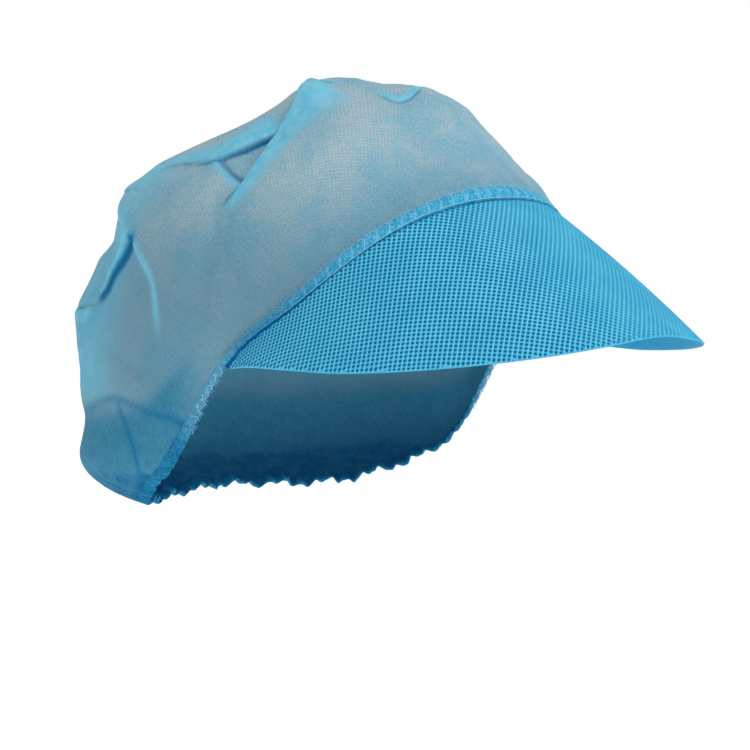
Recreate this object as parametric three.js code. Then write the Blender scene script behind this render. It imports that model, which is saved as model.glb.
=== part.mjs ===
// Disposable peaked cap: a hollow non-woven bag gathered at the nape, a perforated peak stiffened by its own
// curve, the turned-up seam between them and an elastic hem from corner to corner round the back.
// Millimetres, +Z up, the peak towards -Y, the wearer's left towards +X, the origin in the head opening.
import * as THREE from 'three';

const CROWN_WALL = 1.2;
const PEAK_WALL = 1.2;
const CLEARANCE = 0.3;
const SEAM_END_ANGLE = 98;
const HEM_START_ANGLE = 102;
const HEM_HEIGHT = 6.0;
const HEM_THICKNESS = 2.4;
const HEM_TOP_GAP = 0.35;
const GATHER_DEPTH = 0.5;
const BAND_HEIGHT = 5.0;
const BAND_WALL = 0.9;
const BAND_FOOT = 0.9;
const BAND_GAP = 0.4;
const PEAK_START = 0.75;
const PEAK_ARCH = 1.5;
const PEAK_ARCH_WIDTH = 90;
const PEAK_ARCH_WAY = new THREE.Vector3(0, -0.3, 1);
const CROWN_COLUMNS = 90;
const CROWN_ROWS = 24;
const PEAK_COLUMNS = 56;
const PEAK_ROWS = 5;
const HEM_SIDES = 8;

// The steps that slopes and lengths on the surfaces are measured with
const ANGLE_STEP = 0.5;
const LEVEL_STEP = 0.004;
const PEAK_STEP = 0.05;
const POLE_LEVEL = 0.995;
const CURVE_STEPS = 600;
const SEAM_HALF_STEPS = 30;

// One row per upright section through the bag, at an angle from the front. Each level along the section, from
// the rim up to the middle of the top, has its reach from the head's axis and its height.
const LEVELS = ['rim', 'tuck', 'puff', 'waist', 'knob', 'belly', 'corner', 'slope', 'crest', 'dome', 'top'];
const SECTIONS = [
  { angle: 0, rim: [59, 68], tuck: [58.5, 69.5], puff: [57, 71.5], waist: [55, 74], knob: [52, 77.5],
    belly: [46, 83.5], corner: [39, 91], slope: [31, 98.5],
    crest: [22, 105], dome: [11, 110], top: [0, 112] },
  { angle: 44, rim: [66, 57.5], tuck: [65.5, 59], puff: [63.5, 61.5], waist: [61, 64.5], knob: [58, 68],
    belly: [52, 75], corner: [44.5, 83.5], slope: [36, 93],
    crest: [26, 102.5], dome: [13, 109.5], top: [0, 112] },
  { angle: 75, rim: [72, 30.5], tuck: [74, 33.5], puff: [75, 37], waist: [75.5, 42], knob: [75, 50],
    belly: [70, 64], corner: [61, 77], slope: [49, 89],
    crest: [34, 100], dome: [17, 108.5], top: [0, 112] },
  { angle: 99, rim: [79, 4], tuck: [82, 7], puff: [84, 11], waist: [86, 17], knob: [87, 29],
    belly: [84, 50], corner: [75, 69], slope: [60, 84],
    crest: [41, 98], dome: [21, 108.5], top: [0, 112] },
  { angle: 115, rim: [85.5, -30], tuck: [91, -27], puff: [96, -20], waist: [98, -9], knob: [100, 12],
    belly: [96, 44], corner: [87, 67], slope: [70, 83],
    crest: [47, 98], dome: [24, 109], top: [0, 112] },
  { angle: 136, rim: [93, -48.5], tuck: [110, -42.5], puff: [118.5, -33], waist: [117.5, -17],
    knob: [121, 12], belly: [110, 46], corner: [101, 71], slope: [80, 85],
    crest: [53, 98], dome: [27, 109], top: [0, 112] },
  { angle: 180, rim: [97, -52], tuck: [112, -45], puff: [121, -35], waist: [119.5, -18], knob: [125, 10],
    belly: [117, 46], corner: [106, 69], slope: [84, 83],
    crest: [55, 97], dome: [28, 109], top: [0, 112] },
];

// One row per fold of the bag: a line from one point to another, how far the cloth rises out of the bag at
// each of its ends (less than nothing is a hollow), and how far that spreads left, right and past its ends.
const FOLDS = [
  { name: 'top ridge', from: [-33, 11, 110], to: [0, 1, 112],
    rise: [7, -1], left: 12, right: 14, ends: 8 },
  { name: 'pleat edge', from: [-33, 11, 108], to: [-75, 12, 68],
    rise: [4, 1.5], left: 22, right: 8, ends: 8 },
  { name: 'rolled fold', from: [-48, 18, 95], to: [-64, 33, 83],
    rise: [2.5, 4], left: 6.5, right: 11, ends: 6 },
  { name: 'rolled fold end', from: [-64, 33, 83], to: [-54, 70, 82],
    rise: [4, 2], left: 6.5, right: 10, ends: 6 },
  { name: 'pocket under the roll', from: [-54, 16, 88], to: [-66, 25, 77],
    rise: [-2.5, -3], left: 7, right: 7, ends: 7 },
  { name: 'sunken facet', from: [-62, 18, 83], to: [-72, 14, 70],
    rise: [-2, -1.5], left: 7, right: 7, ends: 7 },
  { name: 'flank fold', from: [-72, 76, 68], to: [-86, 49, 45],
    rise: [2.5, 3.5], left: 7, right: 6.5, ends: 6 },
  { name: 'flank fold foot', from: [-86, 49, 45], to: [-90, 38, 26],
    rise: [3.5, 1.5], left: 7, right: 6.5, ends: 8 },
  { name: 'back hollow', from: [-82, 61, 53], to: [-84, 71, 34],
    rise: [-3, -3], left: 7, right: 7, ends: 7 },
  { name: 'back shoulder', from: [-58, 83, 77], to: [-65, 88, 58],
    rise: [-3, -4.5], left: 11, right: 12, ends: 6.5 },
  { name: 'back knob', from: [-76, 95, 24], to: [-88, 76, 17], rise: [3, 2], left: 9, right: 9, ends: 7 },
  { name: 'bend above the hem', from: [-79, 88, -15], to: [-90, 54, -7],
    rise: [1.5, 2], left: 7, right: 7, ends: 6 },
  { name: 'bend end', from: [-90, 54, -7], to: [-82, 30, -16], rise: [2, 1], left: 7, right: 7, ends: 6 },
  { name: 'turned-in flank', from: [-84, 76, -28], to: [-86, 40, -23],
    rise: [-1.5, -1.5], left: 9, right: 9, ends: 8 },
];

// The far flank and the back, which have only soft sags
const SOFT_FOLDS = [
  { name: 'far front sag', from: [36, -18, 94], to: [49, -22, 83],
    rise: [-1.2, -3.2], left: 10, right: 10, ends: 8 },
  { name: 'far pleat edge', from: [24, 12, 110], to: [70, 18, 74],
    rise: [1.5, 2], left: 16, right: 7, ends: 10 },
  { name: 'far rolled fold', from: [58, 40, 88], to: [64, 74, 72],
    rise: [2.5, 1.5], left: 9, right: 6, ends: 9 },
  { name: 'far flank sag', from: [84, 44, 42], to: [82, 72, 12],
    rise: [-2.5, -2], left: 8, right: 8, ends: 10 },
  { name: 'back sag', from: [-24, 124, 42], to: [-34, 128, 0],
    rise: [-2.5, -2], left: 9, right: 9, ends: 10 },
  { name: 'back ridge', from: [22, 116, 50], to: [34, 124, 2], rise: [2, 1.5], left: 8, right: 8, ends: 10 },
];
const FOLD_DEPTH_REACH = 22;
const FOLDS_START_LEVEL = 0.08;

// The gathers that the elastic draws in the cloth above it, round the back
const GATHER_PITCH_ANGLE = 12;
const GATHER_RISE = 1.1;
const GATHERS_START_ANGLE = 108;
const GATHERS_FULL_ANGLE = 130;
const GATHERS_END_LEVEL = 0.34;

// The peak's free edge from its corner to the middle of its front, mirrored for the other half.
const PEAK_EDGE = [
  [78.6, 6.8, 5.2], [85.5, -10, 7], [88, -32, 7.3], [84, -56, 7.2], [74, -82, 9],
  [60, -103, 11.5], [44, -119, 14.3], [24, -130, 17.5], [0, -134, 20],
];

const radians = THREE.MathUtils.degToRad;
const clamp = THREE.MathUtils.clamp;

// A smooth curve through equally spaced values, read at 0 to 1
function smoothThrough(values, at) {
  const last = values.length - 1;
  const place = clamp(at, 0, 1) * last;
  const i = Math.min(Math.floor(place), last - 1);
  const f = place - i;
  const p1 = values[i];
  const p2 = values[i + 1];
  const p0 = i === 0 ? 2 * p1 - p2 : values[i - 1];
  const p3 = i + 2 > last ? 2 * p2 - p1 : values[i + 2];
  return 0.5 * (2 * p1 + (p2 - p0) * f + (2 * p0 - 5 * p1 + 4 * p2 - p3) * f * f
    + (3 * p1 - p0 - 3 * p2 + p3) * f * f * f);
}

// The slope round the head at one section: level at the front and back, where the two halves mirror
function slopeAt(values, k) {
  if (k === 0 || k === SECTIONS.length - 1) return 0;
  const before = SECTIONS[k].angle - SECTIONS[k - 1].angle;
  const after = SECTIONS[k + 1].angle - SECTIONS[k].angle;
  const rising = (values[k + 1] - values[k]) * before / after;
  const coming = (values[k] - values[k - 1]) * after / before;
  return (rising + coming) / (before + after);
}

// A smooth curve through one value per section, read at an angle round the head
function roundTheHead(values, angle) {
  const a = Math.abs(angle);
  let k = 0;
  while (k < SECTIONS.length - 2 && a >= SECTIONS[k + 1].angle) k += 1;
  const width = SECTIONS[k + 1].angle - SECTIONS[k].angle;
  const f = (a - SECTIONS[k].angle) / width;
  const f2 = f * f;
  const f3 = f2 * f;
  return (2 * f3 - 3 * f2 + 1) * values[k] + (f3 - 2 * f2 + f) * width * slopeAt(values, k)
    + (3 * f2 - 2 * f3) * values[k + 1] + (f3 - f2) * width * slopeAt(values, k + 1);
}

// The bag without its folds
function bagPoint(angle, level) {
  const read = (which) => SECTIONS.map((s) => smoothThrough(LEVELS.map((name) => s[name][which]), level));
  const reach = roundTheHead(read(0), angle);
  const height = roundTheHead(read(1), angle);
  return new THREE.Vector3(reach * Math.sin(radians(angle)), -reach * Math.cos(radians(angle)), height);
}

// The outward direction of a surface given by a function of angle and level
function outwardOf(surface, angle, level) {
  if (level > POLE_LEVEL) return new THREE.Vector3(0, 0, 1);
  const round = surface(angle + ANGLE_STEP, level).sub(surface(angle - ANGLE_STEP, level));
  const above = surface(angle, Math.min(level + LEVEL_STEP, 1));
  const up = above.sub(surface(angle, Math.max(level - LEVEL_STEP, 0)));
  return round.cross(up).normalize();
}

// How far all the folds together lift the cloth out of the bag at a point
function foldRise(point, outward) {
  let total = 0;
  for (const fold of [...FOLDS, ...SOFT_FOLDS]) {
    const from = new THREE.Vector3(...fold.from);
    const along = new THREE.Vector3(...fold.to).sub(from);
    const length = along.length();
    along.normalize();
    const offset = point.clone().sub(from);
    const run = offset.dot(along);
    offset.addScaledVector(along, -run);
    const side = along.clone().cross(outward).normalize();
    const across = offset.dot(side);
    const off = offset.dot(outward);
    const past = Math.max(0, -run, run - length);
    const rise = THREE.MathUtils.lerp(fold.rise[0], fold.rise[1], clamp(run / length, 0, 1));
    const spread = across < 0 ? fold.left : fold.right;
    const faded = (across / spread) ** 2 + (past / fold.ends) ** 2 + (off / FOLD_DEPTH_REACH) ** 2;
    total += rise * Math.exp(-faded);
  }
  return total;
}

// How far the elastic's gathers lift the cloth, most at the hem and none higher up
function gatherRise(angle, level) {
  const towardsBack = THREE.MathUtils.smoothstep(Math.abs(angle), GATHERS_START_ANGLE, GATHERS_FULL_ANGLE);
  const towardsHem = 1 - THREE.MathUtils.smoothstep(level, 0, GATHERS_END_LEVEL);
  return GATHER_RISE * towardsBack * towardsHem * Math.cos(2 * Math.PI * angle / GATHER_PITCH_ANGLE);
}

// The outer face of the folded bag
function clothPoint(angle, level) {
  const point = bagPoint(angle, level);
  const outward = outwardOf(bagPoint, angle, level);
  const rise = foldRise(point, outward) * clamp(level / FOLDS_START_LEVEL, 0, 1);
  return point.addScaledVector(outward, rise + gatherRise(angle, level));
}

// A point off the outer face of the bag: inwards for the wall, outwards for what is sewn on it
function offCloth(angle, level, distance) {
  return clothPoint(angle, level).addScaledVector(outwardOf(clothPoint, angle, level), distance);
}

// The level whose way up the cloth from the rim has a given length
function levelAbove(angle, length) {
  let level = 0;
  let way = 0;
  let point = clothPoint(angle, 0);
  while (way < length) {
    const next = clothPoint(angle, level + LEVEL_STEP);
    const stride = next.distanceTo(point);
    if (way + stride >= length) return level + LEVEL_STEP * (length - way) / stride;
    way += stride;
    level += LEVEL_STEP;
    point = next;
  }
  return level;
}

// A closed body from rings of points: each ring is a closed loop, and the first and last are capped by fans
function bodyFromRings(rings) {
  const positions = [];
  const index = [];
  const size = rings[0].length;
  rings.forEach((ring) => ring.forEach((p) => positions.push(p.x, p.y, p.z)));
  for (let i = 0; i + 1 < rings.length; i += 1) {
    for (let j = 0; j < size; j += 1) {
      const a = i * size + j;
      const b = i * size + (j + 1) % size;
      index.push(a, b, a + size, b, b + size, a + size);
    }
  }
  [0, rings.length - 1].forEach((i) => {
    const centre = rings[i].reduce((sum, p) => sum.add(p), new THREE.Vector3()).divideScalar(size);
    const hub = positions.length / 3;
    positions.push(centre.x, centre.y, centre.z);
    for (let j = 0; j < size; j += 1) {
      const a = i * size + j;
      const b = i * size + (j + 1) % size;
      index.push(...(i === 0 ? [hub, b, a] : [hub, a, b]));
    }
  });
  return geometryFrom(positions, index);
}

function geometryFrom(positions, index) {
  const geometry = new THREE.BufferGeometry();
  geometry.setAttribute('position', new THREE.Float32BufferAttribute(positions, 3));
  geometry.setIndex(index);
  geometry.computeVertexNormals();
  return geometry;
}

// The bag as one hollow wall: up the outer face to the top, and down the inner face to the rim
function crownGeometry() {
  const positions = [];
  const index = [];
  const rows = CROWN_ROWS;
  const faces = [0, -CROWN_WALL];
  faces.forEach((depth) => {
    for (let row = 0; row < rows; row += 1) {
      for (let column = 0; column < CROWN_COLUMNS; column += 1) {
        const angle = -180 + (column + 0.5) * 360 / CROWN_COLUMNS;
        const start = Math.abs(angle) < (SEAM_END_ANGLE + HEM_START_ANGLE) / 2
          ? 0 : levelAbove(angle, HEM_HEIGHT + CLEARANCE);
        const p = offCloth(angle, start + (1 - start) * row / rows, depth);
        positions.push(p.x, p.y, p.z);
      }
    }
    const top = offCloth(0, 1, depth);
    positions.push(top.x, top.y, top.z);
  });
  const faceSize = rows * CROWN_COLUMNS + 1;
  const at = (face, row, column) => face * faceSize + row * CROWN_COLUMNS + column % CROWN_COLUMNS;
  for (let column = 0; column < CROWN_COLUMNS; column += 1) {
    for (let row = 0; row + 1 < rows; row += 1) {
      const outer = [0, 1].flatMap((r) => [0, 1].map((c) => at(0, row + r, column + c)));
      const inner = [0, 1].flatMap((r) => [0, 1].map((c) => at(1, row + r, column + c)));
      index.push(outer[0], outer[1], outer[2], outer[1], outer[3], outer[2]);
      index.push(inner[0], inner[2], inner[1], inner[1], inner[2], inner[3]);
    }
    index.push(at(0, rows - 1, column), at(0, rows - 1, column + 1), faceSize - 1);
    index.push(at(1, rows - 1, column + 1), at(1, rows - 1, column), 2 * faceSize - 1);
    index.push(at(0, 0, column + 1), at(0, 0, column), at(1, 0, column));
    index.push(at(0, 0, column + 1), at(1, 0, column), at(1, 0, column + 1));
  }
  return geometryFrom(positions, index);
}

// Points at equal steps along a curve that is given by many close points
function evenly(points, count) {
  const curve = new THREE.CatmullRomCurve3(points);
  curve.arcLengthDivisions = CURVE_STEPS;
  return Array.from({ length: count + 1 }, (_, k) => curve.getPointAt(k / count));
}

// The seam's line along the rim, and the peak's free edge, both from the wearer's right to the left
function seamLine(count) {
  const end = SEAM_END_ANGLE - CLEARANCE;
  const steps = { length: 2 * SEAM_HALF_STEPS + 1 };
  const points = Array.from(steps, (_, k) => offCloth(end * (k / SEAM_HALF_STEPS - 1), 0, -CROWN_WALL / 2));
  return evenly(points, count);
}

function edgeLine(count) {
  const right = PEAK_EDGE.map(([x, y, z]) => new THREE.Vector3(-x, y, z));
  const left = PEAK_EDGE.slice(0, -1).reverse().map(([x, y, z]) => new THREE.Vector3(x, y, z));
  return evenly([...right, ...left], count);
}

// The peak: straight lines from the seam to the free edge, arched a little, with an upper and a lower face
function peakGeometry() {
  const seam = seamLine(PEAK_COLUMNS);
  const edge = edgeLine(PEAK_COLUMNS);
  const middle = (column, w) => {
    const start = seam[column].clone();
    const way = edge[column].clone().sub(start);
    const from = PEAK_START / way.length();
    const arch = PEAK_ARCH * way.length() / PEAK_ARCH_WIDTH * 4 * w * (1 - w);
    return start.addScaledVector(way, from + (1 - from) * w).addScaledVector(PEAK_ARCH_WAY, arch);
  };
  const rings = [];
  for (let column = 0; column <= PEAK_COLUMNS; column += 1) {
    const before = Math.max(column - 1, 0);
    const after = Math.min(column + 1, PEAK_COLUMNS);
    const upper = [];
    const lower = [];
    for (let row = 0; row <= PEAK_ROWS; row += 1) {
      const w = row / PEAK_ROWS;
      const round = middle(after, w).sub(middle(before, w));
      const farther = middle(column, Math.min(w + PEAK_STEP, 1));
      const out = farther.sub(middle(column, Math.max(w - PEAK_STEP, 0)));
      const normal = out.cross(round).normalize();
      upper.push(middle(column, w).addScaledVector(normal, PEAK_WALL / 2));
      lower.push(middle(column, w).addScaledVector(normal, -PEAK_WALL / 2));
    }
    rings.push([...upper, ...lower.reverse()]);
  }
  return bodyFromRings(rings);
}

// The seam allowance, turned up along the crown above the peak, stepped as the bag's own columns are
function seamBandGeometry() {
  const step = 360 / CROWN_COLUMNS;
  const heights = [0, 0.5, 1].map((share) => BAND_FOOT + BAND_HEIGHT * share);
  const rings = [];
  for (let angle = -SEAM_END_ANGLE; angle <= SEAM_END_ANGLE; angle += step) {
    const place = clamp(angle, CLEARANCE - SEAM_END_ANGLE, SEAM_END_ANGLE - CLEARANCE);
    const near = heights.map((height) => offCloth(place, levelAbove(place, height), BAND_GAP));
    const far = heights.map((height) => offCloth(place, levelAbove(place, height), BAND_GAP + BAND_WALL));
    rings.push([...near, ...far.reverse()]);
  }
  return bodyFromRings(rings);
}

// The elastic hem: a soft tunnel at the bag's edge, from corner to corner round the back, puckered all along
function elasticHemGeometry() {
  const step = 180 / CROWN_COLUMNS;
  const square = 1 / Math.cos(Math.PI / HEM_SIDES);
  const rings = [];
  for (let turned = HEM_START_ANGLE; turned <= 360 - HEM_START_ANGLE; turned += step) {
    const place = clamp(turned, HEM_START_ANGLE + CLEARANCE, 360 - HEM_START_ANGLE - CLEARANCE);
    const angle = place > 180 ? place - 360 : place;
    const level = levelAbove(angle, HEM_HEIGHT / 2);
    const outward = outwardOf(bagPoint, angle, level);
    const above = bagPoint(angle, level + LEVEL_STEP);
    const up = above.sub(bagPoint(angle, level - LEVEL_STEP)).normalize();
    const pucker = (rings.length % 2 === 0 ? 1 : -1) * GATHER_DEPTH;
    const centre = offCloth(angle, level, pucker - CROWN_WALL / 2);
    rings.push(Array.from({ length: HEM_SIDES }, (_, k) => {
      const turn = -(k + 0.5) * 2 * Math.PI / HEM_SIDES;
      const high = clamp(Math.sin(turn) * square, -1, 1) * (HEM_HEIGHT / 2 - HEM_TOP_GAP);
      const thick = clamp(Math.cos(turn) * square, -1, 1) * (HEM_THICKNESS / 2);
      return centre.clone().addScaledVector(up, high).addScaledVector(outward, thick);
    }));
  }
  return bodyFromRings(rings);
}

function piece(name, geometry, color, roughness) {
  const mesh = new THREE.Mesh(geometry, new THREE.MeshStandardMaterial({ color, roughness, metalness: 0 }));
  mesh.name = name;
  return mesh;
}

const cap = new THREE.Group();
cap.add(piece('crown', crownGeometry(), 0x7fb4cc, 0.85));
cap.add(piece('peak', peakGeometry(), 0x46b9e1, 0.6));
cap.add(piece('seam_band', seamBandGeometry(), 0x5abee6, 0.7));
cap.add(piece('elastic_hem', elasticHemGeometry(), 0x0f78ad, 0.8));
export default cap;
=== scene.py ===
import math

import bpy
import numpy as np
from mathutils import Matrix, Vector


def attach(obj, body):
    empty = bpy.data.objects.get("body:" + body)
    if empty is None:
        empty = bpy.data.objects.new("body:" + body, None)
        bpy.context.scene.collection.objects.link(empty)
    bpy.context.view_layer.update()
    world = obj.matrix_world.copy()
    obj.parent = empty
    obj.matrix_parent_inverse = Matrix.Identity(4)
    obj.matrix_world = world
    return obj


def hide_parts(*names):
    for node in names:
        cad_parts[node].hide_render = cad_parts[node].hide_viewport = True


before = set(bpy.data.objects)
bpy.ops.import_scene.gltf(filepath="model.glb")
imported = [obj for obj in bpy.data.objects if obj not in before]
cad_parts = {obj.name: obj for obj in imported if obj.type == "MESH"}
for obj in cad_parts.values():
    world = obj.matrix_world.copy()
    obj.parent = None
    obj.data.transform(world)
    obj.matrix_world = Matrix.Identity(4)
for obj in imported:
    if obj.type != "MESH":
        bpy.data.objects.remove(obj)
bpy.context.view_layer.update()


# Studio. A pale floor well below the cap curves up into the backdrop. One broad soft light stands in front
# and above, weaker ones stand beside and behind, and the camera looks from the photograph's angle. None of
# it is part of the cap.
FLOOR_HEIGHT = -0.9
FLOOR_FLAT_RADIUS = 2.2
FLOOR_OUTER_RADIUS = 9.0
FLOOR_RISE = 4.0
FLOOR_INNER_RADIUS = 0.05
FLOOR_SIDES = 72
FLAT_RINGS = 6
RISING_RINGS = 24
CAMERA_AZIMUTH = math.radians(-46.0)
CAMERA_ELEVATION = math.radians(4.5)
CAMERA_DISTANCE = 1.3
CAMERA_LENS_MM = 161.0
AIM_BESIDE_ORIGIN = -0.0062
AIM_ABOVE_ORIGIN = -0.00116
LIGHTS = [
    {"name": "key", "azimuth": 12, "elevation": 52, "distance": 1.5, "size": 1.1, "watts": 12},
    {"name": "side", "azimuth": -100, "elevation": 25, "distance": 1.8, "size": 1.4, "watts": 2.4},
    {"name": "back", "azimuth": 160, "elevation": 40, "distance": 2.0, "size": 1.4, "watts": 3},
]
SKY_STRENGTH = 0.4


def linear(red, green, blue):
    """A colour named by its screen values from 0 to 255, as the shaders want it"""
    shares = np.array((red, green, blue)) / 255
    curved = ((shares + 0.055) / 1.055) ** 2.4
    return (*np.where(shares <= 10 / 255, shares / 12.92, curved).tolist(), 1.0)


def shader_node(tree, kind, inputs=(), **settings):
    """Adds a node to a tree, with its settings, and its inputs set or linked"""
    made = tree.nodes.new(kind)
    for name, value in settings.items():
        setattr(made, name, value)
    for key, value in dict(inputs).items():
        if isinstance(value, bpy.types.NodeSocket):
            tree.links.new(value, made.inputs[key])
        else:
            made.inputs[key].default_value = value
    return made


def mixed(tree, factor, first, second):
    """The colour between two colours"""
    return shader_node(tree, "ShaderNodeMix", {0: factor, 6: first, 7: second}, data_type="RGBA").outputs[2]


def spread(tree, value, low, high, to_low=0.0, to_high=1.0):
    """A value brought from one range to another, smoothly"""
    made = shader_node(tree, "ShaderNodeMapRange", {0: value, 1: low, 2: high, 3: to_low, 4: to_high},
                       interpolation_type="SMOOTHSTEP")
    return made.outputs[0]


def new_material(name):
    """A material with no nodes yet, and its tree"""
    material = bpy.data.materials.new(name)
    material.use_nodes = True
    material.node_tree.nodes.clear()
    return material, material.node_tree


def mesh_object(name, points, faces, values=(), cloth_map=None, material=None):
    """A smooth mesh object at the origin, with a float attribute for each named value and a map of the
    cloth"""
    mesh = bpy.data.meshes.new(name)
    mesh.from_pydata(points.tolist(), [], [list(map(int, face)) for face in faces])
    for key, numbers in dict(values).items():
        mesh.attributes.new(key, "FLOAT", "POINT").data.foreach_set("value", numbers.astype(np.float32))
    if cloth_map is not None:
        corners = np.empty(len(mesh.loops), np.int32)
        mesh.loops.foreach_get("vertex_index", corners)
        mesh.uv_layers.new(name="cloth").data.foreach_set("uv", cloth_map[corners].astype(np.float32).ravel())
    mesh.polygons.foreach_set("use_smooth", np.ones(len(mesh.polygons), bool))
    made = bpy.data.objects.new(name, mesh)
    bpy.context.scene.collection.objects.link(made)
    if material is not None:
        mesh.materials.append(material)
    return made


def towards(azimuth, elevation):
    """The direction from the cap towards an azimuth round it and an elevation above the horizon"""
    level_part = math.cos(elevation)
    return Vector((math.sin(azimuth) * level_part, -math.cos(azimuth) * level_part, math.sin(elevation)))


back_to_camera = towards(CAMERA_AZIMUTH, CAMERA_ELEVATION)
picture_right = (-back_to_camera).cross(Vector((0, 0, 1))).normalized()
picture_up = picture_right.cross(-back_to_camera)
eye = AIM_BESIDE_ORIGIN * picture_right + AIM_ABOVE_ORIGIN * picture_up + back_to_camera * CAMERA_DISTANCE
camera_data = bpy.data.cameras.new("camera")
camera_data.lens = CAMERA_LENS_MM
camera = bpy.data.objects.new("camera", camera_data)
camera.location = eye
camera.rotation_euler = (-back_to_camera).to_track_quat("-Z", "Y").to_euler()
bpy.context.scene.collection.objects.link(camera)
bpy.context.scene.camera = camera
bpy.context.scene.view_settings.view_transform = "Standard"

for light in LIGHTS:
    lamp = bpy.data.lights.new(light["name"], "AREA")
    lamp.energy = light["watts"]
    lamp.size = light["size"]
    stand = bpy.data.objects.new(light["name"], lamp)
    direction = towards(math.radians(light["azimuth"]), math.radians(light["elevation"]))
    stand.location = direction * light["distance"]
    stand.rotation_euler = (-direction).to_track_quat("-Z", "Y").to_euler()
    bpy.context.scene.collection.objects.link(stand)

sky = bpy.data.worlds.new("sky")
sky.use_nodes = True
sky.node_tree.nodes["Background"].inputs["Color"].default_value = linear(255, 255, 255)
sky.node_tree.nodes["Background"].inputs["Strength"].default_value = SKY_STRENGTH
bpy.context.scene.world = sky

floor_material, tree = new_material("pale floor")
paper_grain = shader_node(tree, "ShaderNodeTexNoise", {"Scale": 3.0, "Detail": 3.0})
paper_colour = mixed(tree, paper_grain.outputs[0], linear(250, 250, 250), linear(255, 255, 255))
paper = shader_node(tree, "ShaderNodeBsdfPrincipled", {"Base Color": paper_colour, "Roughness": 0.9,
                    "Emission Color": linear(255, 255, 255), "Emission Strength": 0.5})
shader_node(tree, "ShaderNodeOutputMaterial", {"Surface": paper.outputs[0]})

flat_radii = np.linspace(FLOOR_INNER_RADIUS, FLOOR_FLAT_RADIUS, FLAT_RINGS)
rising_radii = np.linspace(FLOOR_FLAT_RADIUS, FLOOR_OUTER_RADIUS, RISING_RINGS)[1:]
ring_radii = np.r_[flat_radii, rising_radii]
climb = np.clip((ring_radii - FLOOR_FLAT_RADIUS) / (FLOOR_OUTER_RADIUS - FLOOR_FLAT_RADIUS), 0, 1)
bearing = np.linspace(0, 2 * np.pi, FLOOR_SIDES, endpoint=False)
ring_heights = np.outer(FLOOR_HEIGHT + FLOOR_RISE * climb ** 2, np.ones(FLOOR_SIDES))
floor_points = np.stack([np.outer(ring_radii, np.cos(bearing)), np.outer(ring_radii, np.sin(bearing)),
                         ring_heights], -1).reshape(-1, 3)


def strips(rows, columns, closed=True):
    """The four-sided faces of a grid of rows, joined round from the last column to the first where it is
    closed"""
    row, column = np.mgrid[0:rows - 1, 0:columns if closed else columns - 1]
    after = (column + 1) % columns
    faces = np.stack([row * columns + column, row * columns + after, (row + 1) * columns + after,
                      (row + 1) * columns + column], -1)
    return faces.reshape(-1, 4)


floor_faces = [*strips(len(ring_radii), FLOOR_SIDES), list(range(FLOOR_SIDES))]
floor = mesh_object("floor", floor_points, floor_faces, material=floor_material)


# Crown. One thin sheet of spun-bonded cloth, drawn in by the hem's elastic to a slack bag, so it stands in one
# long pleat, two rolls and a tucked-in flank, with fine creases all over. It is sewn to the peak along its
# front rim, and the hem holds it round the back.
LEVELS = ("rim", "tuck", "puff", "waist", "knob", "belly", "corner", "slope", "crest", "dome", "top")
SECTIONS = [
    {"angle": 0, "rim": (0.059, 0.068), "tuck": (0.0585, 0.0695), "puff": (0.057, 0.0715),
     "waist": (0.055, 0.074), "knob": (0.052, 0.0775), "belly": (0.046, 0.0835), "corner": (0.039, 0.091),
     "slope": (0.031, 0.0985), "crest": (0.022, 0.105), "dome": (0.011, 0.11), "top": (0, 0.112)},
    {"angle": 44, "rim": (0.066, 0.0575), "tuck": (0.0655, 0.059), "puff": (0.0635, 0.0615),
     "waist": (0.061, 0.0645), "knob": (0.058, 0.068), "belly": (0.052, 0.075),
     "corner": (0.0445, 0.0835), "slope": (0.036, 0.093), "crest": (0.026, 0.1025),
     "dome": (0.013, 0.1095), "top": (0, 0.112)},
    {"angle": 75, "rim": (0.072, 0.0305), "tuck": (0.074, 0.0335), "puff": (0.075, 0.037),
     "waist": (0.0755, 0.042), "knob": (0.075, 0.05), "belly": (0.07, 0.064), "corner": (0.061, 0.077),
     "slope": (0.049, 0.089), "crest": (0.034, 0.1), "dome": (0.017, 0.1085), "top": (0, 0.112)},
    {"angle": 99, "rim": (0.079, 0.004), "tuck": (0.082, 0.007), "puff": (0.084, 0.011),
     "waist": (0.086, 0.017), "knob": (0.087, 0.029), "belly": (0.084, 0.05), "corner": (0.075, 0.069),
     "slope": (0.06, 0.084), "crest": (0.041, 0.098), "dome": (0.021, 0.1085), "top": (0, 0.112)},
    {"angle": 115, "rim": (0.0855, -0.03), "tuck": (0.091, -0.027), "puff": (0.096, -0.02),
     "waist": (0.098, -0.009), "knob": (0.1, 0.012), "belly": (0.096, 0.044), "corner": (0.087, 0.067),
     "slope": (0.07, 0.083), "crest": (0.047, 0.098), "dome": (0.024, 0.109), "top": (0, 0.112)},
    {"angle": 136, "rim": (0.093, -0.0485), "tuck": (0.11, -0.0425), "puff": (0.1185, -0.033),
     "waist": (0.1175, -0.017), "knob": (0.121, 0.012), "belly": (0.11, 0.046), "corner": (0.101, 0.071),
     "slope": (0.08, 0.085), "crest": (0.053, 0.098), "dome": (0.027, 0.109), "top": (0, 0.112)},
    {"angle": 180, "rim": (0.097, -0.052), "tuck": (0.112, -0.045), "puff": (0.121, -0.035),
     "waist": (0.1195, -0.018), "knob": (0.125, 0.01), "belly": (0.117, 0.046), "corner": (0.106, 0.069),
     "slope": (0.084, 0.083), "crest": (0.055, 0.097), "dome": (0.028, 0.109), "top": (0, 0.112)},
]

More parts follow.
